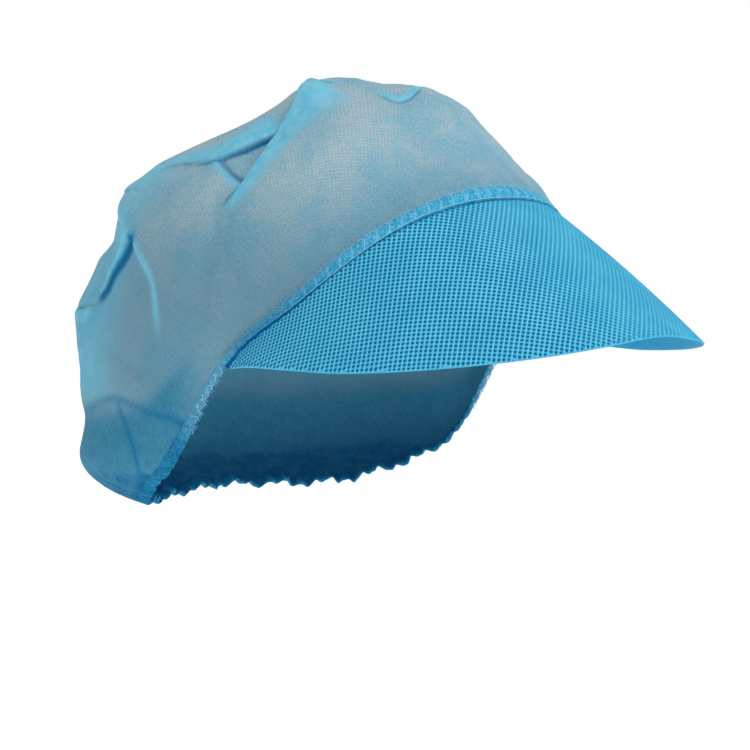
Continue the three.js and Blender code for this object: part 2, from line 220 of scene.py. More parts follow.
# Broad forms: a line on the bag, the rise at its two ends, and how far that spreads left, right and past
# the ends
SWELLS = [
    {"line": [(-0.033, 0.011, 0.11), (0.0, 0.001, 0.112)],
     "rise": (0.006, -0.0012), "left": 0.012, "right": 0.014, "ends": 0.006},
    {"line": [(0.004, -0.012, 0.11), (0.022, -0.017, 0.102)],
     "rise": (0.0012, 0.0012), "left": 0.008, "right": 0.008, "ends": 0.006},
    {"line": [(0.036, -0.018, 0.094), (0.049, -0.022, 0.083)],
     "rise": (-0.0012, -0.0036), "left": 0.01, "right": 0.01, "ends": 0.007},
    {"line": [(-0.058, 0.083, 0.077), (-0.064, 0.091, 0.053)],
     "rise": (-0.004, -0.0078), "left": 0.012, "right": 0.012, "ends": 0.005},
    {"line": [(-0.0765, 0.0965, 0.017), (-0.08, 0.094, 0.003)],
     "rise": (-0.001, -0.0024), "left": 0.009, "right": 0.009, "ends": 0.006},
    {"line": [(0.058, -0.027, 0.067), (0.067, -0.021, 0.053)],
     "rise": (0.0008, 0.003), "left": 0.009, "right": 0.009, "ends": 0.006},
    {"line": [(-0.074, 0.094, 0.019), (-0.088, 0.076, 0.017)],
     "rise": (0.0018, 0.001), "left": 0.009, "right": 0.009, "ends": 0.006},
    {"line": [(-0.08, 0.071, 0.05), (-0.083, 0.076, 0.036)],
     "rise": (-0.002, -0.002), "left": 0.005, "right": 0.006, "ends": 0.005},
    {"line": [(-0.068, 0.092, 0.04), (-0.075, 0.094, 0.026)],
     "rise": (0.0012, 0.002), "left": 0.01, "right": 0.01, "ends": 0.006},
    {"line": [(-0.072, 0.076, 0.068), (-0.086, 0.049, 0.045)],
     "rise": (0.0012, 0.0015), "left": 0.007, "right": 0.007, "ends": 0.006},
    {"line": [(-0.084, 0.076, -0.028), (-0.086, 0.04, -0.023)],
     "rise": (-0.001, -0.001), "left": 0.009, "right": 0.009, "ends": 0.008},
    {"line": [(-0.06, 0.018, 0.084), (-0.07, 0.014, 0.072)],
     "rise": (-0.002, -0.0015), "left": 0.006, "right": 0.006, "ends": 0.006},
    {"line": [(0.024, 0.012, 0.11), (0.07, 0.018, 0.074)],
     "rise": (0.0015, 0.002), "left": 0.016, "right": 0.007, "ends": 0.01},
    {"line": [(0.058, 0.04, 0.088), (0.064, 0.074, 0.072)],
     "rise": (0.0025, 0.0015), "left": 0.009, "right": 0.006, "ends": 0.009},
    {"line": [(0.084, 0.044, 0.042), (0.082, 0.072, 0.012)],
     "rise": (-0.0025, -0.002), "left": 0.008, "right": 0.008, "ends": 0.01},
    {"line": [(-0.024, 0.124, 0.042), (-0.034, 0.128, 0)],
     "rise": (-0.0025, -0.002), "left": 0.009, "right": 0.009, "ends": 0.01},
    {"line": [(0.022, 0.116, 0.05), (0.034, 0.124, 0.002)],
     "rise": (0.002, 0.0015), "left": 0.008, "right": 0.008, "ends": 0.01},
]

# A fold with seen places follows them: they are places in the photograph, read in pixels to the right
# and down from its top left corner. The other folds follow a line of points.
PHOTO_SIDE = 750
SENSOR_MM = 36.0
SEARCHED_ANGLES = (-175.0, 60.0)
SEARCHED_LEVELS = (0.0, 0.999)
SEARCHED_COLUMNS = 1411
SEARCHED_ROWS = 500

# Pleats: the layer on the left of the line lies over the one on its right. Lip is how far the upper layer
# stands out at the line's two ends and broad how far back that reaches, sunk and hollow are the same for
# the lower layer, turn is half the width of cloth that turns under, and over is how far it overhangs.
# Doubled and pocket shade are the widths of the strips that show two layers and painted deep shade, and
# deep is how dark that painted shade is.
PLEATS = [
    {"name": "long pleat",
     "line": [(-0.033, 0.011, 0.109), (-0.049, 0.012, 0.094), (-0.066, 0.01, 0.078), (-0.075, 0.012, 0.069)],
     "lip": (0.0035, 0.001), "broad": 0.022, "sunk": (0.002, 0.0008), "hollow": 0.008, "turn": 0.0018,
     "over": (0.0022, 0.001), "ends": 0.003, "doubled": (0.016, 0.006), "pocket": 0.003,
     "deep": (0.4, 0.6)},
    {"name": "first roll",
     "seen": [(150, 178), (165, 166), (180, 162), (191, 163), (205, 163), (218, 160), (260, 140),
              (273.5, 132.5)],
     "lip": (0.0002, 0.002), "broad": 0.014, "sunk": (0.0002, 0.0018), "hollow": 0.011, "turn": 0.0016,
     "over": (0.0002, 0.0008), "ends": 0.006, "doubled": (0.006, 0.018), "pocket": 0.0014,
     "deep": (0.25, 1.0)},
    {"name": "under layer", "seen": [(239, 179), (232.5, 175), (225, 169), (218, 161)],
     "lip": (0.0003, 0.0004), "broad": 0.006, "sunk": (0.0002, 0.001), "hollow": 0.007, "turn": 0.0016,
     "over": (0.0001, 0.0003), "ends": 0.003, "doubled": (0.003, 0.003), "pocket": 0.003,
     "deep": (0.7, 0.5)},
    {"name": "flank fold",
     "seen": [(124, 200.5), (122, 215.5), (126, 227.5), (134, 245), (142, 262), (150, 285), (153, 310)],
     "lip": (0.0009, 0.0003), "broad": 0.01, "sunk": (0.0014, 0.0001), "hollow": 0.006, "turn": 0.0024,
     "over": (0.0014, 0.0001), "ends": 0.007, "doubled": (0.004, 0.003), "pocket": 0.002,
     "deep": (0.5, 0.1)},
    {"name": "tucked back",
     "seen": [(102, 292.5), (106.5, 285), (112, 272), (120, 260), (126, 250), (131, 238)],
     "lip": (0.0006, 0.001), "broad": 0.007, "sunk": (0.0008, 0.0018), "hollow": 0.005, "turn": 0.0016,
     "over": (0.0002, 0.0004), "ends": 0.003, "doubled": (0.009, 0.014), "pocket": 0.006,
     "deep": (0.8, 0.85)},
    {"name": "corner crease", "seen": [(120.5, 196), (127, 192), (136, 190)], "lip": (0.0006, 0.0004),
     "broad": 0.005, "sunk": (0.0008, 0.0004), "hollow": 0.004, "turn": 0.0012, "over": (0.0008, 0.0004),
     "ends": 0.003, "doubled": (0.005, 0.004), "pocket": 0.001, "deep": (1.0, 0.4)},
    {"name": "knob crease", "seen": [(93, 307), (86, 309), (81, 312)], "lip": (0.0006, 0.0008),
     "broad": 0.007, "sunk": (0.0006, 0.0006), "hollow": 0.005, "turn": 0.0012, "over": (0.0006, 0.0006),
     "ends": 0.003, "doubled": (0.009, 0.004), "pocket": 0.001, "deep": (0.8, 0.5)},
    {"name": "bend above the hem",
     "seen": [(84, 409.5), (92, 403), (101, 398), (116, 395), (134, 402), (150, 409), (169, 415), (187, 423)],
     "lip": (0.0002, 0.0006), "broad": 0.009, "sunk": (0.0003, 0.0006), "hollow": 0.01, "turn": 0.003,
     "over": (0, 0), "ends": 0.004, "doubled": (0, 0), "pocket": 0.004, "deep": (0.4, 0.7)},
    {"name": "tail crease", "seen": [(142, 494), (136, 472), (130, 450), (124, 430), (118, 413)],
     "lip": (0.0001, 0.0001), "broad": 0.005, "sunk": (0.0004, 0.0003), "hollow": 0.008, "turn": 0.002,
     "over": (0, 0), "ends": 0.004, "doubled": (0, 0), "pocket": 0.0028, "deep": (0.75, 0.6)},
    {"name": "top tuck", "seen": [(381.5, 95.5), (398, 101), (410, 97), (417.5, 91)],
     "lip": (0.0004, 0.0005), "broad": 0.006, "sunk": (0.0004, 0.0005), "hollow": 0.005, "turn": 0.0013,
     "over": (0.0003, 0.0004), "ends": 0.004, "doubled": (0.003, 0.0035), "pocket": 0.0014,
     "deep": (0.4, 0.7)},
    {"name": "ridge crease", "line": [(-0.033, 0.01, 0.113), (-0.025, 0.006, 0.112)],
     "lip": (0.0006, 0.0005), "broad": 0.005, "sunk": (0.0006, 0.0004), "hollow": 0.004, "turn": 0.0013,
     "over": (0.0008, 0.0004), "ends": 0.003, "doubled": (0.004, 0.003), "pocket": 0.0012,
     "deep": (0.9, 0.6)},
]

# Narrow creases, each a line with its depth and its width
CREASES = [
    {"seen": [(207, 239), (203, 250), (199.5, 261.5)], "depth": 0.0013, "width": 0.0026},
    {"seen": [(214, 205), (216, 225), (214, 245), (208, 265)], "depth": 0.0011, "width": 0.0026},
    {"seen": [(228, 215), (224, 232.5), (225.5, 250)], "depth": 0.001, "width": 0.0026},
    {"line": [(-0.088, 0.062, 0.01), (-0.09, 0.044, 0.002)], "depth": 0.0006, "width": 0.0026},
    {"seen": [(185, 305), (200, 312)], "depth": 0.0004, "width": 0.0024},
    {"line": [(-0.021, 0.006, 0.1105), (-0.0165, -0.006, 0.1085)], "depth": 0.0004, "width": 0.0022},
    {"line": [(0.0005, -0.0165, 0.108), (0.009, -0.023, 0.1025)], "depth": 0.0005, "width": 0.0024},
]
CREASE_SHADE = 0.12
CREASE_ENDS_IN_WIDTHS = 3
DOUBLED_FADE = (0.45, 1.3)
POCKET_FADE = (0.3, 1.3)
FOLD_DEPTH_REACH = 0.022
HEM_HEIGHT = 0.006
CLOTH_THICKNESS = 0.00035
SECTION_ANGLES = np.array([section["angle"] for section in SECTIONS], float)
SECTION_POINTS = np.array([[section[level] for level in LEVELS] for section in SECTIONS])
FOLDS_START_LEVEL = 0.08
HEM_START_ANGLE = 98.1
HEM_CORNER_SHARE = 0.55
HEM_FULL_ANGLE = 120.0
SEAM_END_ANGLE = 98.0
TURN_PEAK = 2.33
SLOPE_ANGLE_STEP = 0.5
SLOPE_LEVEL_STEP = 0.004
POLE_LEVEL = 0.995
COURSE_TURNS = 24
DENSE_ANGLES = 1441
DENSE_LEVELS = 401
LOW_LEVELS = 71
LOW_LEVELS_TOP = 0.35
CROWN_COLUMNS = 324
CROWN_ROWS = 148
ROWS_ANGLE = -112.0
CLOSER_COLUMNS = 3.0
CLOSEST_ANGLE = -108.0
CLOSER_ANGLES = 62.0
HEM_OVERLAP = 0.001
TOP_DOME = 0.0002
GATHER_PITCH_ANGLE = 12.0
GATHER_RISE = 0.0011
GATHERS_START_ANGLE = 108.0
GATHERS_FULL_ANGLE = 130.0
GATHERS_END_LEVEL = 0.34
SMALL_GATHER_PITCH_ANGLE = 4.2
SMALL_GATHER_RISE = 0.0009
SMALL_GATHERS_END_LEVEL = 0.13
GATHER_WANDERS = [{"size": 1.1, "waves": 5, "start": 0.7}, {"size": 0.9, "waves": 11, "start": 2.1}]
EXTRA_CREASES = 150
CREASE_LEVELS = (0.06, 0.95)
CREASE_LEAN_DEGREES = 45
CREASE_LENGTHS = (0.006, 0.020)
CREASE_WIDTHS = (0.0012, 0.0026)
CREASE_DEPTHS = (-0.0003, 0.0005)
CREASE_OFF_REACH = 0.012
SWAYS = 10
SWAY_SIZES = (0.0001, 0.0003)
SWAY_REACHES = (0.004, 0.012)
WAVE_STARTS = (0, 6.28)
MAP_SHARE = 0.9
FINE_FULL_LEVEL = 0.08
BOND_PITCH = 0.00095
FIBRE_SCALE = (1500.0, 700.0, 1.0)
SPECK_SHIFT = (0.31, 0.17, 0.05)
TAIL_ANGLES = (101, 111)
TAIL_LEVELS = (0.28, 0.335)
TAIL_SHADE = 0.9
DARK_EDGE_LEVELS = (0.125, 0.165)
DARK_EDGE_ANGLE = 133
DARK_EDGE_SLANT = 0.009
BEHIND_ANGLES = (119, 131)
BEHIND_FOOT_LEVELS = (0.3, 0.36)
BEHIND_TOP_LEVELS = (0.62, 0.72)
BEHIND_DOUBLED = 0.55
# Painted shade on low cloth: the heights where it fades out, and how much higher it reaches at the front
LOW_SHADE_HEIGHTS = (0.03, 0.085)
LOW_SHADE_FRONT_REACH = 0.06
LOW_SHADE_FRONT_RISE = 0.3


def read_smoothly(values, place):
    """A smooth curve through equally spaced values, read at places from 0 to 1"""
    last = len(values) - 1
    at = np.clip(place, 0, 1) * last
    i = np.minimum(at.astype(int), last - 1)
    f, first, final = (x.reshape(x.shape + (1,) * (values.ndim - 1)) for x in (at - i, i == 0, i + 2 > last))
    p1, p2 = values[i], values[i + 1]
    p0 = np.where(first, 2 * p1 - p2, values[np.maximum(i - 1, 0)])
    p3 = np.where(final, 2 * p2 - p1, values[np.minimum(i + 2, last)])
    return 0.5 * (2 * p1 + (p2 - p0) * f + (2 * p0 - 5 * p1 + 4 * p2 - p3) * f ** 2
                  + (3 * p1 - p0 - 3 * p2 + p3) * f ** 3)


def round_the_bag(values, angle):
    """A smooth curve through one value for each section, read at angles from the front, alike left and
    right"""
    turned = np.abs(angle)
    k = np.clip(np.searchsorted(SECTION_ANGLES, turned, side="right") - 1, 0, len(SECTION_ANGLES) - 2)
    steps = np.diff(SECTION_ANGLES).reshape((-1,) + (1,) * (values.ndim - 1))
    rises = np.diff(values, axis=0)
    slopes = np.zeros_like(values)
    slopes[1:-1] = ((rises[1:] * steps[:-1] / steps[1:] + rises[:-1] * steps[1:] / steps[:-1])
                    / (steps[1:] + steps[:-1]))

    def at_section(table, index):
        return np.take_along_axis(table, index[None, ..., None], 0)[0]

    width = np.diff(SECTION_ANGLES)[k][..., None]
    f = (turned - SECTION_ANGLES[k])[..., None] / width
    return ((2 * f ** 3 - 3 * f ** 2 + 1) * at_section(values, k)
            + (f ** 3 - 2 * f ** 2 + f) * width * at_section(slopes, k)
            + (3 * f ** 2 - 2 * f ** 3) * at_section(values, k + 1)
            + (f ** 3 - f ** 2) * width * at_section(slopes, k + 1))


def bag_point(angle, level):
    """The bag without its folds"""
    angle, level = np.broadcast_arrays(np.asarray(angle, float), np.asarray(level, float))
    read = np.stack([read_smoothly(section, level) for section in SECTION_POINTS])
    reach, height = np.moveaxis(round_the_bag(read, angle), -1, 0)
    return np.stack([reach * np.sin(np.radians(angle)), -reach * np.cos(np.radians(angle)), height], -1)


def unit(vectors):
    """Directions of length one"""
    return vectors / np.maximum(np.linalg.norm(vectors, axis=-1, keepdims=True), 1e-12)


def outward_of(surface, angle, level):
    """The outward direction of a surface given by angle and level"""
    angle, level = np.broadcast_arrays(np.asarray(angle, float), np.asarray(level, float))
    onward = surface(angle + SLOPE_ANGLE_STEP, level) - surface(angle - SLOPE_ANGLE_STEP, level)
    above, beneath = np.minimum(level + SLOPE_LEVEL_STEP, 1), np.maximum(level - SLOPE_LEVEL_STEP, 0)
    outward = unit(np.cross(onward, surface(angle, above) - surface(angle, beneath)))
    outward[level > POLE_LEVEL] = (0, 0, 1)
    return outward


# The points of the bag without its folds that face the camera, and the place of each in the photograph
searched = np.meshgrid(np.linspace(*SEARCHED_ANGLES, SEARCHED_COLUMNS),
                       np.linspace(*SEARCHED_LEVELS, SEARCHED_ROWS), indexing="ij")
bag_net = bag_point(*searched)
net_outward = np.cross(np.gradient(bag_net, axis=0), np.gradient(bag_net, axis=1))
from_eye = bag_net - np.array(eye)
faces_camera = (net_outward * from_eye).sum(-1) < 0
net_points, from_eye = bag_net[faces_camera], from_eye[faces_camera]
ahead = -from_eye @ np.array(back_to_camera)
in_picture = from_eye @ np.array([picture_right, -picture_up]).T / ahead[:, None]
net_places = PHOTO_SIDE / 2 + CAMERA_LENS_MM / SENSOR_MM * PHOTO_SIDE * in_picture
for fold in PLEATS + CREASES:
    if "seen" in fold:
        nearest = [np.linalg.norm(net_places - place, axis=1).argmin() for place in fold["seen"]]
        fold["line"] = net_points[nearest]


def fading(distance, reach):
    """One at no distance, and less and less past the reach"""
    return np.exp(-(distance / reach) ** 2)


def smooth_step(low, high, value):
    """Zero up to low, one from high on, and a smooth rise between"""
    t = np.clip((value - low) / (high - low), 0, 1)
    return t * t * (3 - 2 * t)


def beside(line, points, outward):
    """Where points of the cloth lie by a line: the share of the way along it, the distances to its right,
    out of the cloth and past its ends, and the direction to its right"""
    course = np.array(line, float)
    if len(line) > 2:
        course = read_smoothly(course, np.linspace(0, 1, COURSE_TURNS))
    steps = np.diff(course, axis=0)
    lengths = np.linalg.norm(steps, axis=1)
    closest = np.full(points.shape[:-1], np.inf)
    share, past = np.zeros_like(closest), np.zeros_like(closest)
    offset, way = np.zeros_like(points), np.zeros_like(points)
    for start, step, length, before in zip(course, steps, lengths, np.cumsum(lengths) - lengths):
        direction = step / length
        run = (points - start) @ direction
        held = np.clip(run, 0, length)
        from_line = points - start - held[..., None] * direction
        distance = np.linalg.norm(from_line, axis=-1)
        nearer = distance < closest
        closest = np.where(nearer, distance, closest)
        share = np.where(nearer, (before + held) / lengths.sum(), share)
        past = np.where(nearer, np.abs(run - held), past)
        offset = np.where(nearer[..., None], from_line, offset)
        way = np.where(nearer[..., None], direction, way)
    right = unit(np.cross(way, outward))
    return share, (offset * right).sum(-1), (offset * outward).sum(-1), past, right


def between(pair, share):
    """The value at a share of the way from a pair's first to its second"""
    return pair[0] + (pair[1] - pair[0]) * share


def folded_cloth(angle, level):
    """The folded bag's outer face, and how doubled and how deep in painted shade the cloth is everywhere"""
    points = bag_point(angle, level)
    outward = outward_of(bag_point, angle, level)
    moved = np.zeros_like(points)
    doubled, pocket = np.zeros(points.shape[:-1]), np.zeros(points.shape[:-1])
    for swell in SWELLS:
        share, across, off, past, right = beside(swell["line"], points, outward)
        reach = np.where(across < 0, swell["left"], swell["right"])
        fade = fading(past, swell["ends"]) * fading(off, FOLD_DEPTH_REACH) * fading(across, reach)
        moved += (between(swell["rise"], share) * fade)[..., None] * outward
    for pleat in PLEATS:
        share, across, off, past, right = beside(pleat["line"], points, outward)
        fade = fading(past, pleat["ends"]) * fading(off, FOLD_DEPTH_REACH)
        upper = between(pleat["lip"], share) * fading(np.minimum(across, 0), pleat["broad"])
        lower = -between(pleat["sunk"], share) * fading(np.maximum(across, 0), pleat["hollow"])
        turned = smooth_step(-pleat["turn"], pleat["turn"], across)
        rise = upper + (lower - upper) * turned
        turns = across / pleat["turn"]
        roll = -between(pleat["over"], share) * TURN_PEAK * turns * np.exp(-turns ** 2)
        moved += (rise * fade)[..., None] * outward + (roll * fade)[..., None] * right
        if pleat["doubled"][0] > 0:
            strip = 1 - smooth_step(*DOUBLED_FADE, -across / between(pleat["doubled"], share))
            doubled = np.maximum(doubled, strip * (1 - turned) * fade)
        # The pocket strip beside each pleat gets painted shade
        deep = (1 - smooth_step(*POCKET_FADE, across / pleat["pocket"])) * turned * fade
        pocket = np.maximum(pocket, deep * between(pleat["deep"], share))
    for crease in CREASES:
        share, across, off, past, right = beside(crease["line"], points, outward)
        groove = (fading(past, CREASE_ENDS_IN_WIDTHS * crease["width"]) * fading(off, FOLD_DEPTH_REACH)
                  * fading(across, crease["width"]))
        moved -= (crease["depth"] * groove)[..., None] * outward
        # Creases get painted shade too
        pocket = np.maximum(pocket, CREASE_SHADE * groove)
    fold_start = np.clip(np.asarray(level) / FOLDS_START_LEVEL, 0, 1)
    return points + moved * np.broadcast_to(fold_start, doubled.shape)[..., None], doubled, pocket


def gather_rise(angle, level):
    """How far the elastic's gathers lift the cloth, most at the hem round the back: wide ones and small
    ones"""
    towards_back = smooth_step(GATHERS_START_ANGLE, GATHERS_FULL_ANGLE, np.abs(angle))
    wide = GATHER_RISE * np.cos(2 * np.pi * angle / GATHER_PITCH_ANGLE)
    wander = sum(wave["size"] * np.sin(np.radians(angle) * wave["waves"] + wave["start"])
                 for wave in GATHER_WANDERS)
    small = SMALL_GATHER_RISE * np.cos(2 * np.pi * angle / SMALL_GATHER_PITCH_ANGLE + wander)
    return (towards_back * (1 - smooth_step(0, GATHERS_END_LEVEL, level)) * wide
            + towards_back * (1 - smooth_step(0, SMALL_GATHERS_END_LEVEL, level)) * small)


def level_above(angle, length):
    """The level whose way up the cloth from the rim has a given length"""
    levels = np.linspace(0, LOW_LEVELS_TOP, LOW_LEVELS)
    course = bag_point(np.asarray(angle, float)[:, None], levels[None])
    ways = np.zeros(course.shape[:2])
    ways[:, 1:] = np.linalg.norm(np.diff(course, axis=1), axis=-1).cumsum(1)
    wanted = np.broadcast_to(length, len(ways))
    return np.array([np.interp(reached, way, levels) for reached, way in zip(wanted, ways)])


chance = np.random.default_rng(seed=11)
small_creases = []
for _ in range(EXTRA_CREASES):
    angle, level = chance.uniform(-180, 180), chance.uniform(*CREASE_LEVELS)
    middle = bag_point(angle, level)
    normal = outward_of(bag_point, np.array([angle]), np.array([level]))[0]
    lean = math.radians(chance.normal(0, CREASE_LEAN_DEGREES))
    upward = unit(np.cross(normal, np.cross((0, 0, 1), normal)))
    way = math.cos(lean) * upward + math.sin(lean) * np.cross(normal, upward)
    small_creases.append({"middle": middle, "normal": normal, "way": way, "across": np.cross(normal, way),
                          "length": chance.uniform(*CREASE_LENGTHS), "width": chance.uniform(*CREASE_WIDTHS),
                          "depth": chance.uniform(*CREASE_DEPTHS)})
sways = list(zip(chance.uniform(*SWAY_SIZES, SWAYS), unit(chance.normal(size=(SWAYS, 3))),
                 chance.uniform(*SWAY_REACHES, SWAYS), chance.uniform(*WAVE_STARTS, SWAYS)))


def finished_cloth(angle, level):
    """The outer face of the bag with its folds, gathers and small creases, the outward direction there,
    and how doubled and how deep in painted shade the cloth is"""
    points, doubled, pocket = folded_cloth(angle, level)
    outward = outward_of(bag_point, angle, level)
    fine = sum(size * np.sin(points @ direction / reach + start) for size, direction, reach, start in sways)
    for crease in small_creases:
        offset = points - crease["middle"]
        fine -= (crease["depth"] * fading(offset @ crease["way"], crease["length"])
                 * fading(offset @ crease["across"], crease["width"])
                 * fading(offset @ crease["normal"], CREASE_OFF_REACH))
    rise = gather_rise(angle, level) + fine * smooth_step(0, FINE_FULL_LEVEL, level)
    return points + rise[..., None] * outward, outward, doubled, pocket


def hem_height_at(angle):
    """How tall the hem is: narrow where it starts at the corners of the peak, and full round the back"""
    grown = smooth_step(HEM_START_ANGLE, HEM_FULL_ANGLE, np.abs(angle))
    return HEM_HEIGHT * (HEM_CORNER_SHARE + (1 - HEM_CORNER_SHARE) * grown)


# Columns stand closer on the flank that the folds are on
dense_angles = np.linspace(-180, 180, DENSE_ANGLES)
closeness = 1 + CLOSER_COLUMNS * np.exp(-((dense_angles - CLOSEST_ANGLE) / CLOSER_ANGLES) ** 4)
gathered_share = np.r_[0, np.cumsum((closeness[1:] + closeness[:-1]) / 2)]
column_share = (np.arange(CROWN_COLUMNS) + 0.5) / CROWN_COLUMNS
angles = np.interp(column_share, gathered_share / gathered_share[-1], dense_angles)
hem_side = np.abs(angles) > (HEM_START_ANGLE + SEAM_END_ANGLE) / 2
first_level = np.where(hem_side, level_above(angles, hem_height_at(angles) - HEM_OVERLAP), 0)
dense_levels = np.linspace(0, 1, DENSE_LEVELS)
up_the_flank = np.linalg.norm(np.diff(bag_point(ROWS_ANGLE, dense_levels), axis=0), axis=1).cumsum()
row_shares = np.linspace(0, up_the_flank[-1], CROWN_ROWS + 1)[:-1]
rising = np.interp(row_shares, np.r_[0, up_the_flank], dense_levels)[:, None]
levels = first_level + (1 - first_level) * rising
angle_grid = np.broadcast_to(angles, levels.shape)
outer, outward, doubled, pocket = finished_cloth(angle_grid, levels)

# The wall: the outer face, and the same points a cloth's thickness inside it
onward = np.roll(outer, -1, 1) - np.roll(outer, 1, 1)
face_out = unit(np.cross(onward, np.gradient(outer, axis=0)))
inner = outer - CLOTH_THICKNESS * face_out
top_outer = outer[-1].mean(0) + (0, 0, TOP_DOME)
top_inner = top_outer - (0, 0, CLOTH_THICKNESS)
grid_size = CROWN_ROWS * CROWN_COLUMNS
crown_points = np.concatenate([outer.reshape(-1, 3), inner.reshape(-1, 3), [top_outer, top_inner]])
wall = strips(CROWN_ROWS, CROWN_COLUMNS)
column = np.arange(CROWN_COLUMNS)
after = (column + 1) % CROWN_COLUMNS
rim = np.stack([column, column + grid_size, after + grid_size, after], -1)
last_row = grid_size - CROWN_COLUMNS
top_fan = np.stack([column + last_row, after + last_row, np.full(CROWN_COLUMNS, 2 * grid_size)], -1)
top_fan_inside = top_fan[:, [1, 0, 2]] + (grid_size, grid_size, 1)
crown_faces = [*wall, *(wall[:, ::-1] + grid_size), *rim, *top_fan, *top_fan_inside]

# The map of the cloth: laid out flat from the top, with the way down each section kept
way_down = np.linalg.norm(np.diff(bag_point(angle_grid, levels), axis=0), axis=-1)
from_top = np.concatenate([way_down[::-1].cumsum(0)[::-1], np.zeros((1, CROWN_COLUMNS))]) * MAP_SHARE
map_angle = np.radians(angle_grid)
laid = np.stack([from_top * np.sin(map_angle), -from_top * np.cos(map_angle)], -1).reshape(-1, 2)
crown_map = np.concatenate([laid, laid, np.zeros((2, 2))])

# The tail gets painted shade with the deeper tone of its doubled cloth, darkest along its lower edge,
# the cloth behind it shows two layers, and low cloth gets painted shade, darker towards the bottom
off_front = np.abs(angle_grid)
tail = smooth_step(*TAIL_ANGLES, off_front) * (1 - smooth_step(*TAIL_LEVELS, levels))
edge_level = levels + DARK_EDGE_SLANT * np.maximum(DARK_EDGE_ANGLE - off_front, 0)
dark_edge = 1 - smooth_step(*DARK_EDGE_LEVELS, edge_level)
shade = TAIL_SHADE * tail + (1 - TAIL_SHADE) * tail * dark_edge
behind = (smooth_step(*BEHIND_ANGLES, off_front) * smooth_step(*BEHIND_FOOT_LEVELS, levels)
          * (1 - smooth_step(*BEHIND_TOP_LEVELS, levels)))
doubled = np.maximum(doubled, BEHIND_DOUBLED * behind)
# Low cloth gets painted shade, darker towards the bottom where the light from above falls off
low_shade_height = outer[..., 2] - LOW_SHADE_FRONT_RISE * np.clip(-outer[..., 1], 0, LOW_SHADE_FRONT_REACH)
low = 1 - smooth_step(*LOW_SHADE_HEIGHTS, low_shade_height)
crown_values = {name: np.r_[numbers.ravel(), numbers.ravel(), 0, 0] for name, numbers in
                {"doubled": doubled, "pocket": pocket, "shade": shade, "low": low}.items()}


def object_place(tree):
    """Each point's own place in the frame"""
    return shader_node(tree, "ShaderNodeTexCoord").outputs["Object"]


def mapped(tree, place, **changes):
    """A place moved or scaled"""
    return shader_node(tree, "ShaderNodeMapping", {"Vector": place, **changes}).outputs[0]


def noise(tree, scale, detail, roughness=0.5, place=None):
    """Noise over the frame, or over a place of its own"""
    place = object_place(tree) if place is None else place
    return shader_node(tree, "ShaderNodeTexNoise", {"Vector": place, "Scale": scale, "Detail": detail,
                       "Roughness": roughness}).outputs[0]


def named(tree, name):
    """What the mesh's named values say at each point"""
    return shader_node(tree, "ShaderNodeAttribute", attribute_name=name).outputs["Fac"]


def worked_out(tree, operation, first, second=0.0):
    """A sum on one or two values"""
    return shader_node(tree, "ShaderNodeMath", {0: first, 1: second}, operation=operation).outputs[0]


def tinted(tree, colour, tone, value, low, high, share=1.0):
    """A colour brought near a tone, the more so the further a value has gone from low to high"""
    return mixed(tree, spread(tree, value, low, high, 0.0, share), colour, linear(*tone))


def end_material(tree, colour, roughness, relief, strength, distance, gloss=0.08, sheen=0.0):
    """Gives a material its colour, its finish and its fine relief"""
    bump = shader_node(tree, "ShaderNodeBump", {"Height": relief, "Strength": strength, "Distance": distance})
    cloth = shader_node(tree, "ShaderNodeBsdfPrincipled", {
        "Base Color": colour, "Roughness": roughness, "Specular IOR Level": gloss, "Sheen Weight": sheen,
        "Normal": bump.outputs[0]})
    shader_node(tree, "ShaderNodeOutputMaterial", {"Surface": cloth.outputs[0]})


bag_material, tree = new_material("spun-bonded cloth of the bag")
cloth_place = shader_node(tree, "ShaderNodeUVMap", uv_map="cloth").outputs[0]
patches = noise(tree, 30.0, 4.0, 0.6)
mottle = noise(tree, 210.0, 4.0, 0.7)
fibres = noise(tree, 1.0, 4.0, 0.7, mapped(tree, cloth_place, Scale=FIBRE_SCALE))
grains = noise(tree, 1000.0, 2.0)
specks = noise(tree, 1100.0, 2.0, place=mapped(tree, object_place(tree), Location=SPECK_SHIFT))
bond_place = mapped(tree, cloth_place, Scale=(math.pi / BOND_PITCH,) * 3)
axes = shader_node(tree, "ShaderNodeSeparateXYZ", {0: bond_place})
waves = [worked_out(tree, "SINE", axes.outputs[i]) for i in (0, 1)]
bond_points = spread(tree, worked_out(tree, "MULTIPLY", *waves), 0.6, 0.9)
seen_bonds = spread(tree, patches, 0.4, 0.6, 0.12, 0.5)
bond_share = worked_out(tree, "MULTIPLY", bond_points, seen_bonds)
colour = mixed(tree, spread(tree, patches, 0.36, 0.64), linear(110, 166, 188), linear(160, 180, 186))
colour = tinted(tree, colour, (90, 170, 196), mottle, 0.38, 0.66, 0.4)
colour = tinted(tree, colour, (178, 174, 178), grains, 0.42, 0.66, 0.5)
colour = tinted(tree, colour, (72, 164, 192), specks, 0.42, 0.66, 0.45)
colour = tinted(tree, colour, (176, 206, 214), fibres, 0.45, 0.75, 0.4)
colour = mixed(tree, bond_share, colour, linear(205, 224, 230))
# Painted shade on the low cloth of the bag
low_shade_share = worked_out(tree, "MULTIPLY", named(tree, "low"), 0.65)
colour = mixed(tree, low_shade_share, colour, linear(72, 126, 150))
is_shaded = named(tree, "shade")
